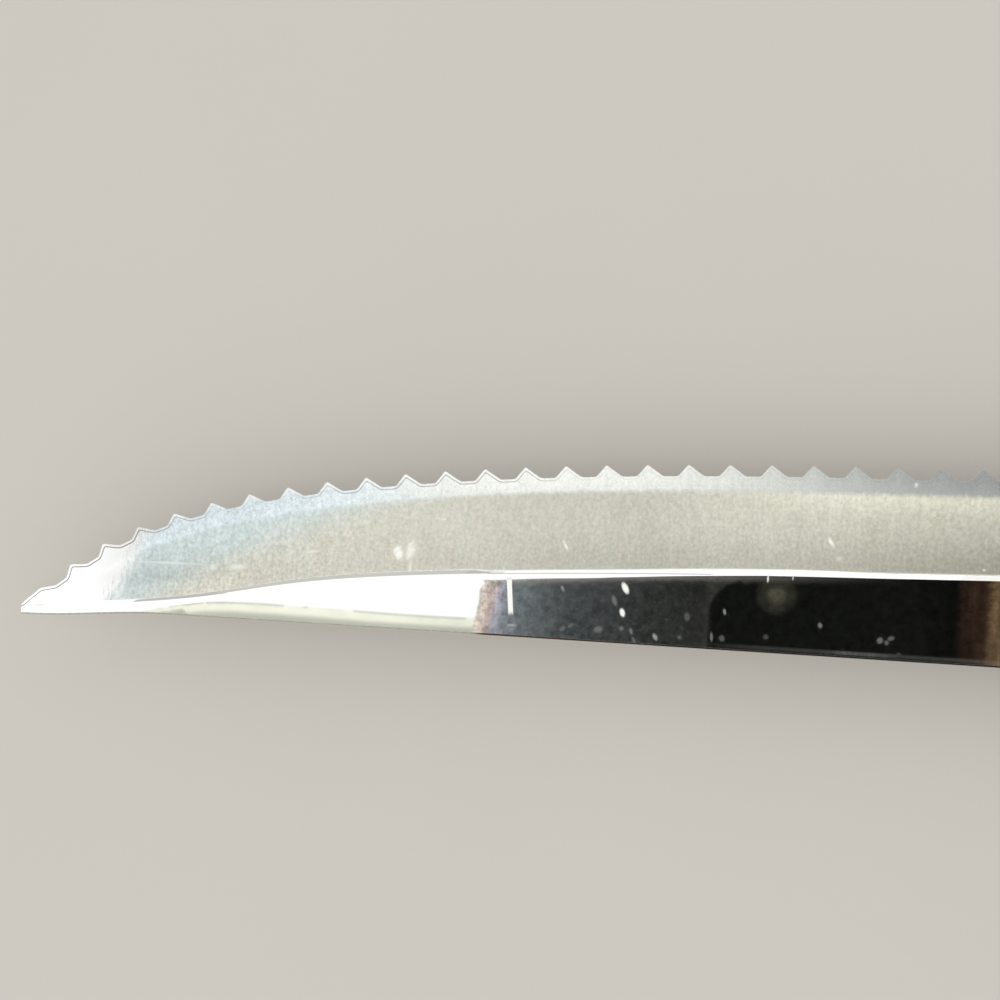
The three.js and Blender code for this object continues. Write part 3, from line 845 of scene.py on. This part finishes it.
# Colours of the painted shade and painted reflection on the spine's chamfer: pale near the tip, then brown,
# then near black.
CHAMFER_SHADE_PALE, CHAMFER_SHADE_BROWN, CHAMFER_SHADE_DARK = (0.45, 0.45, 0.38), (0.055, 0.032, 0.024), (0.020, 0.015, 0.012)
# Colour of the marks of wear and of the painted highlight beside the spine.
WEAR_AND_HIGHLIGHT_COLOUR = (0.97, 0.975, 0.955)
STEEL_IOR = 2.0


def summed(distances, terms):
    total = 0.0
    for amount, *stretches in terms:
        for name, *places in stretches:
            reach = distances[name].band if len(places) == 4 else distances[name].ramp
            amount = amount * reach(*places)
        total = total + amount
    return total


def mark_sum(finish, marks, ragged=0.0):
    total = None
    for x, y, half_length, half_width, turn, strength in marks:
        one = finish.mark(x, y, half_length, half_width, turn, ragged=ragged) * strength
        total = one if total is None else total.larger(one)
    return total


def blade_steel():
    """Polished flat along the spine with a buffed rounding, a painted highlight along the crest where the
    hollow starts, a satin hollow with short grain from spine to edge, and a finer and brighter band along the
    teeth. The hollow and the band carry painted shade and painted reflections, blue near the tip and darker
    towards the heel, and a thin line of painted shade lies inside the serrated outline. The tip is buffed,
    with a ragged end to the satin, and the chamfer of the spine is painted dark as painted shade and
    reflection, and made rougher."""
    f = Finish("ground_steel")
    names = ("along", "from_spine", "from_grind", "from_edge", "rim")
    distances = {name: f.value(name) for name in names}
    along, from_spine, from_grind, from_edge, rim = distances.values()

    grit = f.noise((3.1, 2.5, 1.0), detail=2.5, roughness=0.6)
    fleck = f.noise((2.2, 1.6, 1.2), detail=2.0)
    streaks = f.noise((2.4, 0.3, 0.3), detail=3.0, roughness=0.6)
    cloud = f.noise((0.12, 0.3, 0.3), detail=3.0)
    patch = f.noise((0.5, 0.35, 0.3), detail=2.0)
    tufts = f.noise((1.5, 0.8, 1.0), detail=3.0, roughness=0.65)
    hair = f.noise((4.2, 0.9, 0.5), detail=2.5)

    past_shoulder = from_grind + summed(distances, SATIN_SHIFTS)
    ground = (past_shoulder + (hair - 0.5) * 0.06).ramp(*GROUND_START)
    crest = past_shoulder.band(*CREST_HIGHLIGHT_BAND)
    band = (from_edge + (tufts - 0.5) * 0.6).ramp(*BAND_START)
    buffed = (along + from_edge * 0.6 + (tufts - 0.5) * 5 + (hair - 0.5) * 3.5).ramp(*BUFFED_END)
    on_blade = 1 - along.ramp(*HANDLE_START)
    satin = ground * (1 - buffed) * on_blade

    specks = f.noise((1.7, 1.7, 1.0), detail=3.0, roughness=0.6).ramp(0.54, 0.8)
    specks = specks * summed(distances, HAZE_STRENGTHS)
    flat_marks = mark_sum(f, FLAT_MARKS).larger(f.mark(*TICK, square=True)).larger(specks)
    ground_marks = mark_sum(f, GROUND_MARKS, (grit - 0.5) * GROUND_MARK_RAGGEDNESS)

    tint = f.blend(cloud.ramp(0.3, 0.7) * 0.5 + (fleck - 0.5) * 1.2 + 0.2, HOLLOW_WARM, HOLLOW_PALE)
    tint = f.blend(patch.ramp(0.35, 0.65) * 0.45, tint, HOLLOW_PINK)
    # Painted reflections: olive towards the heel, then blue towards the tip and beside the teeth.
    tint = f.blend(along.ramp(40, 108) * 0.35, tint, HOLLOW_REFLECTED_OLIVE)
    tint = f.blend((along + from_edge * 4.2).ramp(62, 40) * 0.9, tint, HOLLOW_REFLECTED_BLUE)
    # Painted shade and light over the hollow.
    tint = f.shade(tint, summed(distances, HOLLOW_PAINTED_SHADING))
    # The band's colour: a painted blue reflection near the tip, pale in the middle, painted shade towards the
    # heel.
    band_painted_tint = f.blend(along.ramp(30, 52), BAND_REFLECTED_BLUE, BAND_PALE)
    band_painted_tint = f.blend(along.ramp(74, 106), band_painted_tint, BAND_PAINTED_SHADE)
    grain = (grit - 0.5) * 0.62 + (streaks - 0.5) * 0.24
    grain = grain * (1 - band * summed(distances, BAND_SMOOTHNESS)) * summed(distances, GRAIN_STRENGTHS)
    satin_tint = f.shade(f.blend(band, tint, band_painted_tint), 1 + grain)
    tint = f.blend(satin, f.blend(buffed, POLISHED_COLOUR, BUFFED_COLOUR), satin_tint)
    # Painted highlight: a near-white line along the crest of the shoulder.
    tint = f.blend(crest * summed(distances, CREST_HIGHLIGHT_STRENGTHS), tint, CREST_HIGHLIGHT_COLOUR)
    # A thin dark line of painted shade just inside the serrated outline.
    edge_shade = rim.band(*EDGE_SHADE_BAND) * summed(distances, EDGE_SHADE_STRENGTHS) * on_blade
    tint = f.blend(edge_shade, tint, EDGE_SHADE_COLOUR)
    glint = rim.ramp(*GLINT_WIDTH) * from_edge.ramp(*GLINT_BESIDE_EDGE) * along.ramp(60, 30) * on_blade
    tint = f.blend(glint * (1 - edge_shade) * 0.6, tint, GLINT_COLOUR)
    # The spine's chamfer is painted dark, as painted shade and a painted reflection of a brown surface, and
    # it is made rougher.
    chamfer_shade = from_spine.band(*CHAMFER_SHADE_BAND) * on_blade
    chamfer_shade_tint = f.blend(along.ramp(50.5, 52.5), CHAMFER_SHADE_PALE, CHAMFER_SHADE_BROWN)
    chamfer_shade_tint = f.blend(along.ramp(66, 76), chamfer_shade_tint, CHAMFER_SHADE_DARK)
    tint = f.blend(chamfer_shade, tint, f.shade(chamfer_shade_tint, 0.55 + grit * 0.9))
    # A faint, streaked painted highlight on the flat beside the spine's chamfer.
    lip_highlight = from_spine.band(*LIP_HIGHLIGHT_BAND) * summed(distances, LIP_HIGHLIGHT_STRENGTHS) * on_blade * (0.3 + streaks * 1.4)
    # Marks and specks of wear, the pale bar across the flat and the painted highlight beside the spine turn
    # pale, less metallic and rougher together.
    wear_and_highlight = (flat_marks.larger(lip_highlight) * (1 - satin) + ground_marks * satin).smaller(1.0)
    tint = f.blend(wear_and_highlight, tint, WEAR_AND_HIGHLIGHT_COLOUR)

    polish = 0.012 + cloud * 0.01 + buffed * ground * 0.14
    satin_rough = 0.40 - band * 0.14 + (grit - 0.5) * 0.1
    roughness = polish + (satin_rough - polish) * satin + wear_and_highlight * 0.25 + (1 - on_blade) * 0.2 + chamfer_shade * 0.3
    return f.surface({
        "Base Color": tint, "Metallic": 1 - wear_and_highlight * 0.85, "Roughness": roughness,
        "Normal": f.bump((grit * 0.6 + streaks) * satin, 0.000004), "IOR": STEEL_IOR})


FACET_DARK, FACET_PALE = (0.70, 0.70, 0.69), (0.82, 0.81, 0.79)


def gullet_steel():
    """Ground facets of the gullets: bright, with fine grinding lines running out of the blade, and painted
    lighter towards the tip as a painted highlight.
    """
    f = Finish("gullet_facets")
    lines = f.noise((7.0, 0.3, 0.3), detail=3.0, roughness=0.6)
    # Lighter towards the tip: a painted highlight.
    tint = f.shade(f.blend(lines, FACET_DARK, FACET_PALE),
                   1 + (lines - 0.5) * 0.3 + f.value("along").ramp(64, 40) * 0.22)
    return f.surface({
        "Base Color": tint, "Metallic": 1.0, "Roughness": 0.22 + lines * 0.16,
        "Normal": f.bump(lines, 0.000006), "IOR": STEEL_IOR})


WOOD_DARK, WOOD_WARM, PORE_COLOUR = (0.045, 0.018, 0.011), (0.175, 0.070, 0.036), (0.016, 0.008, 0.006)
LAYERS_TURN = 7.4


def scale_wood():
    """Dark laminated wood under a thin resin shine: veneers as layers parallel to the tang, which show as
    contour lines on the round sides, with pores and streaks along the handle."""
    f = Finish("laminated_wood")
    _, _, z = f.axes()
    sway = f.noise((0.02, 0.08, 0.3), detail=2.0)
    layers = ((z + sway * 1.6) * LAYERS_TURN).sine() * 0.5 + 0.5
    streaks = f.noise((0.05, 1.6, 1.6), detail=5.0, roughness=0.62, distortion=0.4)
    pores = f.noise((0.45, 9.0, 9.0), detail=3.0, roughness=0.6)
    cloud = f.noise((0.03, 0.2, 0.2), detail=2.0)

    warm = f.blend(streaks.ramp(0.30, 0.70), WOOD_DARK, WOOD_WARM)
    layered = f.shade(warm, 0.62 + layers * 0.55 + (cloud - 0.5) * 0.5)
    pore = pores.ramp(0.62, 0.74)
    tint = f.blend(pore * 0.7, layered, PORE_COLOUR)
    height = streaks * 0.4 - pore * 0.8 + layers * 0.12
    return f.surface({
        "Base Color": tint, "Metallic": 0.0, "Roughness": 0.34 + pore * 0.25 + (streaks - 0.5) * 0.12,
        "Coat Weight": 0.18 * (1 - pore), "Coat Roughness": 0.18, "Normal": f.bump(height, 0.00003)})


RIVET_DARK, RIVET_PALE = (0.70, 0.66, 0.57), (0.80, 0.77, 0.69)


def rivet_metal():
    """Nickel silver ground flush with the wood: straight fine lines along the handle and stray scratches."""
    f = Finish("nickel_silver")
    lines = f.noise((0.35, 9.0, 1.0), detail=3.0, roughness=0.6)
    stray = f.noise((6.0, 0.5, 1.0), detail=2.0, turn=0.5).ramp(0.68, 0.78)
    cloud = f.noise((0.4, 0.4, 0.4), detail=2.0)
    tint = f.shade(f.blend(cloud, RIVET_DARK, RIVET_PALE), 1 + (lines - 0.5) * 0.25)
    return f.surface({
        "Base Color": tint, "Metallic": 1.0, "Roughness": 0.2 + lines * 0.14 + stray * 0.15,
        "Normal": f.bump(lines + stray * 0.6, 0.000004)})


# Build

steel, facets, wood, metal = blade_steel(), gullet_steel(), scale_wood(), rivet_metal()


def keep(piece, node):
    """Puts a piece in the place of a node, which gets its finish too."""
    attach(piece, "root")
    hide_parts(node)
    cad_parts[node].material_slots[0].material = piece.data.materials[0]


keep(build_blade(steel, facets), "blade")
keep(build_scale("scale_upper_wood", 1, wood), "scale_upper")
keep(build_scale("scale_lower_wood", -1, wood), "scale_lower")
for where, place in zip(RIVET_NAMES, RIVET_PLACES):
    for half, profile in (("male", male_profile()), ("female", female_profile())):
        rivet = turned_solids(f"rivet_{where}_{half}_turned", [(place, profile)], [metal])
        keep(rivet, f"rivet_{where}_{half}")

# Studio

FLOOR_HALF_SIZE = 20000.0
FLOOR_DROP = 0.05
FLOOR_COLOUR = (0.60, 0.575, 0.545)
ZENITH_COLOUR = (0.56, 0.55, 0.53)
SIDE_COLOUR = (1.08, 1.07, 1.03)
SIDE_START, SIDE_END = 0.94, 0.70


def stage_panel(name, points, faces, finish, values=()):
    panel = add_object(name, add_mesh(name, points, faces, [finish], values))
    return panel


def flat_panel(name, low, high, z, finish):
    """Level rectangle from low to high, at height z, all in the drawing's millimetres."""
    (x0, y0), (x1, y1) = low, high
    return stage_panel(name, [(x0, y0, z), (x1, y0, z), (x1, y1, z), (x0, y1, z)], [range(4)], finish)


def floor_finish():
    f = Finish("pale_floor")
    cloud = f.noise((0.02, 0.02, 0.02), detail=3.0)
    tint = f.shade(FLOOR_COLOUR, 0.98 + cloud * 0.04)
    return f.surface({"Base Color": tint, "Roughness": 0.75, "Specular IOR Level": 0.2})


flat_panel("floor", (REST_X - FLOOR_HALF_SIZE, REST_Y - FLOOR_HALF_SIZE),
           (REST_X + FLOOR_HALF_SIZE, REST_Y + FLOOR_HALF_SIZE), -HALF_HANDLE - FLOOR_DROP, floor_finish())


def light_world():
    """Even light from all sides that is a little dimmer overhead."""
    world = bpy.data.worlds.new("studio")
    bpy.context.scene.world = world
    f = Finish("studio_light", world)
    _, _, height = f.split(f.signal("ShaderNodeTexCoord", {}, {}, "Generated"))
    tint = f.blend(height.ramp(SIDE_END, SIDE_START), SIDE_COLOUR, ZENITH_COLOUR)
    f.end(f.signal("ShaderNodeBackground", {}, {"Color": tint, "Strength": 1.0}), "ShaderNodeOutputWorld")


light_world()

# Camera: its foot point on the blade, its height over the upper face, and its two tilts as slopes.
CAMERA_FOOT = (83.14, 5.98)
CAMERA_HEIGHT = 213.62
CAMERA_TILT = (0.1375, 0.0485)
SPINE_SLOPE = 3.477
CAMERA_LENS = 72.0
SENSOR_WIDTH = 36.0
NEAREST_SEEN = 0.01
LIGHT_HEIGHT = 1000.0
LAMP_WATTS = math.pi


def above(x, y, height):
    """Point of the level at that height over the polished flat that the camera sees in it at x and y."""
    rise = height / CAMERA_HEIGHT
    return x + (x - CAMERA_FOOT[0]) * rise, y + (y - CAMERA_FOOT[1]) * rise, HALF_SPINE + height


def soft_box(name, low, high, tint):
    """Area lamp that faces straight down over the rectangle from low to high, as bright as its tint."""
    (x0, y0), (x1, y1) = low, high
    lamp = bpy.data.lights.new(name, "AREA")
    lamp.shape, lamp.size, lamp.size_y = "RECTANGLE", (x1 - x0) * MM, (y1 - y0) * MM
    lamp.energy = LAMP_WATTS * lamp.size * lamp.size_y
    lamp.color = tint
    add_object(name, lamp).location = placed(((x0 + x1) / 2, (y0 + y1) / 2, HALF_SPINE + LIGHT_HEIGHT))


# Soft boxes: name, low corner, high corner and brightness. The windows show as the white of the polished
# flat and of its rounding, whose thin grey line is the gap between two of them. The flat shows the first
# window's right end and the gap's end at these x, and three small steps lead over from one to the other.
WINDOW = (0.60, 0.63, 0.64)
WINDOW_END_SEEN = 51.6
GAP_END_SEEN = 76.0
STEPS_LENGTH = 9
window_right, _, _ = above(WINDOW_END_SEEN, 0, LIGHT_HEIGHT)
gap_end, _, _ = above(GAP_END_SEEN, 0, LIGHT_HEIGHT)
steps_end = window_right + STEPS_LENGTH
SOFT_BOXES = (
    ("window_tip", (-700, -120), (-385, 250), WINDOW),
    ("window_start", (-385, -60), (-285, 60), WINDOW),
    ("window", (-285, -60), (window_right, 68), WINDOW),
    ("crest_light", (-190, 120), (window_right, 134), (0.20, 0.20, 0.17)),
    ("crest_glow", (-300, 70), (window_right - 16, 120), (0.08, 0.08, 0.07)),
    ("window_far", (window_right, 0), (gap_end, 60), WINDOW),
    ("window_low_step", (window_right, 72), (steps_end, 96), (0.3, 0.315, 0.32)),
    ("window_middle_step", (window_right - 6, 96), (steps_end, 119), (0.4, 0.42, 0.425)),
    ("window_high_step", (window_right - 14, 119), (steps_end, 132), (0.5, 0.525, 0.53)),
    ("window_beyond", (steps_end, 72), (gap_end, 132), WINDOW),
    ("window_side", (gap_end, 0), (160, 152), WINDOW),
    ("window_end", (160, 0), (190, 124), WINDOW),
    ("window_last", (190, 0), (340, 124), (0.46, 0.48, 0.48)),
    ("band_light", (-230, 146), (50, 262), (1.5, 1.5, 1.45)),
    ("sky_left", (-520, -320), (-60, -62), (0.56, 0.66, 0.70)),
    ("sky_right", (-60, -320), (420, -20), (1.35, 1.35, 1.15)),
)
for name, low, high, tint in SOFT_BOXES:
    soft_box(name, low, high, tint)

# Panels that only reflections see. The flag darkens the far right side.
FLAG_COLOUR = (0.30, 0.31, 0.30)
FLAG_CORNERS = ((60, 156), (520, 480))


def reflected(panel):
    panel.visible_camera = False
    panel.visible_diffuse = False
    panel.visible_shadow = False
    panel.visible_transmission = False


def glowing(f, glow_colour, cover=None):
    """Ends a panel's nodes: a glow of the given colour, seen only as far as cover."""
    glow = f.signal("ShaderNodeEmission", {}, {"Color": glow_colour, "Strength": 1.0})
    if cover is not None:
        clear = f.signal("ShaderNodeBsdfTransparent", {}, {})
        glow = f.signal("ShaderNodeMixShader", {}, {0: cover, 1: clear, 2: glow})
    return f.end(glow)


reflected(flat_panel("flag", *FLAG_CORNERS, HALF_SPINE + LIGHT_HEIGHT,
                     glowing(Finish("flag"), (*FLAG_COLOUR, 1))))

# Sill under the left window: a broken line, a cream strip, and then a dull grey green. Each column of
# its strip goes from the window's edge, at share 0, straight towards the spine's side. It ends there at
# share 1, or further on near the tip, where the strip is narrower.
SILL_LINE = ((-3.0, -1.0), (-0.5, -0.7), (5.6, 0.23), (9.1, 0.75), (12.6, 1.24), (16.2, 1.6), (21.6, 1.84),
             (27.2, 1.92), (34.9, 1.85), (42.5, 1.72), (47.0, 1.72), (53.5, 1.80))
SILL_DEPTH = 3.0
SILL_FAR_SHARES = ((9.1, 12.6, 16.2), (2.4, 2.0, 1.0))
SILL_STOPS = ((0.0, (0.97, 0.98, 0.88)), (0.06, (1.02, 1.03, 0.88)), (0.28, (1.0, 1.01, 0.85)),
              (0.40, (0.62, 0.63, 0.55)), (0.52, (0.52, 0.53, 0.46)), (1.0, (0.40, 0.41, 0.36)))
SILL_HEIGHT = LIGHT_HEIGHT - 1
SILL_LINE_WIDTH = (0.075, 0.06)
SILL_LINE_COLOUR = (0.58, 0.58, 0.50)
SILL_RIGHT_END = (-150, -112)


def sill_finish():
    f = Finish("sill")
    share = f.value("share")
    dashes = f.noise((0.06, 0.02, 0.02), detail=2.0).ramp(0.40, 0.47)
    mottle = f.noise((0.07, 0.16, 0.1), detail=3.0, roughness=0.6)
    tint = f.stops(share + (mottle - 0.5) * 0.16, SILL_STOPS)
    tint = f.blend(share.ramp(*SILL_LINE_WIDTH) * dashes, tint, SILL_LINE_COLOUR)
    x, _, _ = f.axes()
    right = (x - PLACE[0]).ramp(*SILL_RIGHT_END)
    return glowing(f, f.shade(tint, 0.86 + mottle * 0.28 - right * 0.11))


def strip_panel(name, rows, shares, height, finish):
    """Level panel that joins rows of points on the flat, all carried up to the level that the flat shows
    there. The finish reads each point's share."""
    points = [above(x, y, height) for row in rows for x, y in row]
    n = len(rows[0])
    faces = [(i, i + 1, n + i + 1, n + i) for k in range(len(rows) - 1) for i in range(k * n, k * n + n - 1)]
    return stage_panel(name, points, faces, finish, {"share": np.concatenate(shares)})


sill_low = [(x, y - SILL_DEPTH) for x, y in SILL_LINE]
sill_far = np.interp([x for x, _ in SILL_LINE], *SILL_FAR_SHARES)
sill_shares = (np.zeros(len(SILL_LINE)), sill_far)
reflected(strip_panel("sill", (SILL_LINE, sill_low), sill_shares, SILL_HEIGHT, sill_finish()))

# Dark card round the camera: brownish pink at its left end, slate, near black, and brown at its right end.
# Its rows run from its outline over the grind line, both at share 0, and the end of its mottled rim, at
# share 1, to its near side.
CARD_START, CARD_END = 50.5, 110.0
CARD_STOPS = (
    (0.0, (0.72, 0.63, 0.56)), (0.040, (0.70, 0.60, 0.53)), (0.050, (0.58, 0.46, 0.43)),
    (0.056, (0.42, 0.39, 0.44)), (0.064, (0.36, 0.38, 0.44)), (0.076, (0.22, 0.24, 0.26)),
    (0.090, (0.152, 0.175, 0.18)), (0.166, (0.070, 0.077, 0.080)), (0.32, (0.033, 0.036, 0.034)),
    (0.422, (0.022, 0.023, 0.021)), (0.436, (0.036, 0.036, 0.032)), (0.46, (0.030, 0.031, 0.027)),
    (0.56, (0.024, 0.025, 0.020)), (0.66, (0.010, 0.011, 0.009)), (0.864, (0.004, 0.0045, 0.0035)),
    (0.876, (0.020, 0.011, 0.008)), (0.916, (0.034, 0.020, 0.013)), (0.930, (0.13, 0.085, 0.045)),
    (1.0, (0.20, 0.14, 0.075)),
)
SHADE_CORNER = (83.2, 4.2)
SHADE_ROUNDING = (13.8, 8.2, 2.0)
SHADE_COLOUR = (0.006, 0.0068, 0.0058)
CARD_NEAR = -6.0
CARD_MIDDLE = 6.0
CARD_SLANT = 0.00145
CARD_LEFT_END = (0.0245, 0.0265)
CARD_RIM = 0.75
CARD_LEAST_STEP = 0.05
CARD_SHARES = (0.0, 0.0, 1.0, 2.0)
CARD_RIM_COLOUR = (0.30, 0.28, 0.255)
CARD_OUTLINE = (
    (50.5, 5.85), (53.7, 6.03), (58.0, 6.45), (62.4, 6.8), (64.5, 7.1), (68.8, 8.4), (73.0, 10.0),
    (77.3, 11.2), (81.5, 12.2), (85.6, 12.1), (93.9, 11.5), (110.0, 12.0),
)
LENS_PLACE = (83.34, 6.2)
LENS_RADIUS = 4.2
LENS_COLOUR = (0.095, 0.09, 0.065)


def card_finish():
    f = Finish("card")
    x, y, _ = f.axes()
    across = (x - above(CARD_START, 0, CAMERA_HEIGHT)[0] - PLACE[0]) / (2 * (CARD_END - CARD_START))
    slant = (y - above(0, CARD_MIDDLE, CAMERA_HEIGHT)[1] - PLACE[1]) * CARD_SLANT
    jags = f.noise((0.35, 1.6, 1.0), detail=3.0, roughness=0.7)
    stripes = f.noise((0.7, 0.04, 0.3), detail=2.0)
    fine = f.noise((1.3, 0.12, 0.3), detail=3.0, roughness=0.7)
    speckle = f.noise((0.5, 0.5, 0.3), detail=3.0, roughness=0.95) - 0.5
    share = across - slant * across.ramp(0.09, 0.05) + (jags - 0.5) * 0.016
    tint = f.shade(f.stops(share, CARD_STOPS), 1 + (fine - 0.5) * across.ramp(0.10, 0.06) * 1.1
                   + (stripes - 0.5) * (across.ramp(0.8, 0.86) * 0.8 + 0.2))

    u, v, _ = f.split(f.around(above(*SHADE_CORNER, CAMERA_HEIGHT), SHADE_ROUNDING))
    u, v = (0 - u).larger(0.0), v.larger(0.0)
    tint = f.blend((u * u + v * v).ramp(1.06, 0.94) * across.ramp(0.8, 0.7), tint, SHADE_COLOUR)
    distance = f.length(f.around(above(*LENS_PLACE, CAMERA_HEIGHT), [LENS_RADIUS] * 3))
    tint = f.blend(distance.ramp(1.15, 0.8) * 0.2 + distance.ramp(0.65, 0.15) * 0.55, tint, LENS_COLOUR)
    rim = (f.value("share") + speckle * 2.2).ramp(1.0, 0.0)
    rim = rim * (1 - (1 - rim) * across.ramp(0.2, 0.34)) * across.ramp(0.8, 0.05) * 0.75
    tint = f.shade(f.blend(rim, tint, CARD_RIM_COLOUR), 1 + speckle * 2.7)
    return glowing(f, tint, share.ramp(*CARD_LEFT_END))


card_level = [(x, min(y - CARD_LEAST_STEP, float(grind_line(x)))) for x, y in CARD_OUTLINE]
card_rows = (CARD_OUTLINE, card_level, [(x, y - CARD_RIM) for x, y in card_level],
             [(x, CARD_NEAR) for x, _ in CARD_OUTLINE])
card_shares = [np.full(len(CARD_OUTLINE), share) for share in CARD_SHARES]
reflected(strip_panel("card", card_rows, card_shares, CAMERA_HEIGHT, card_finish()))


def add_camera():
    """Straight down as the camera sees it is (tilt right, tilt down, 1); the spine is turned from the
    picture's rows by its slope, and the three directions give the camera's own axes."""
    down = np.array((*CAMERA_TILT, 1.0))
    down /= np.linalg.norm(down)
    across = np.array((1.0, 0, 0)) - down * down[0]
    across /= np.linalg.norm(across)
    along = np.cross(down, across)
    turn = math.radians(SPINE_SLOPE)
    knife_axes = np.array((math.cos(turn) * across + math.sin(turn) * along,
                           math.sin(turn) * across - math.cos(turn) * along, -down))
    right, lower, forward = knife_axes.T
    lens = bpy.data.cameras.new("camera")
    lens.lens, lens.sensor_width, lens.sensor_fit = CAMERA_LENS, SENSOR_WIDTH, "HORIZONTAL"
    lens.clip_start = NEAREST_SEEN
    camera = add_object("camera", lens)
    place = Matrix(np.column_stack((right, -lower, -forward)).tolist()).to_4x4()
    place.translation = Vector(placed((*CAMERA_FOOT, HALF_SPINE + CAMERA_HEIGHT)))
    camera.matrix_world = place
    bpy.context.scene.camera = camera


add_camera()
bpy.context.scene.view_settings.view_transform = "Standard"
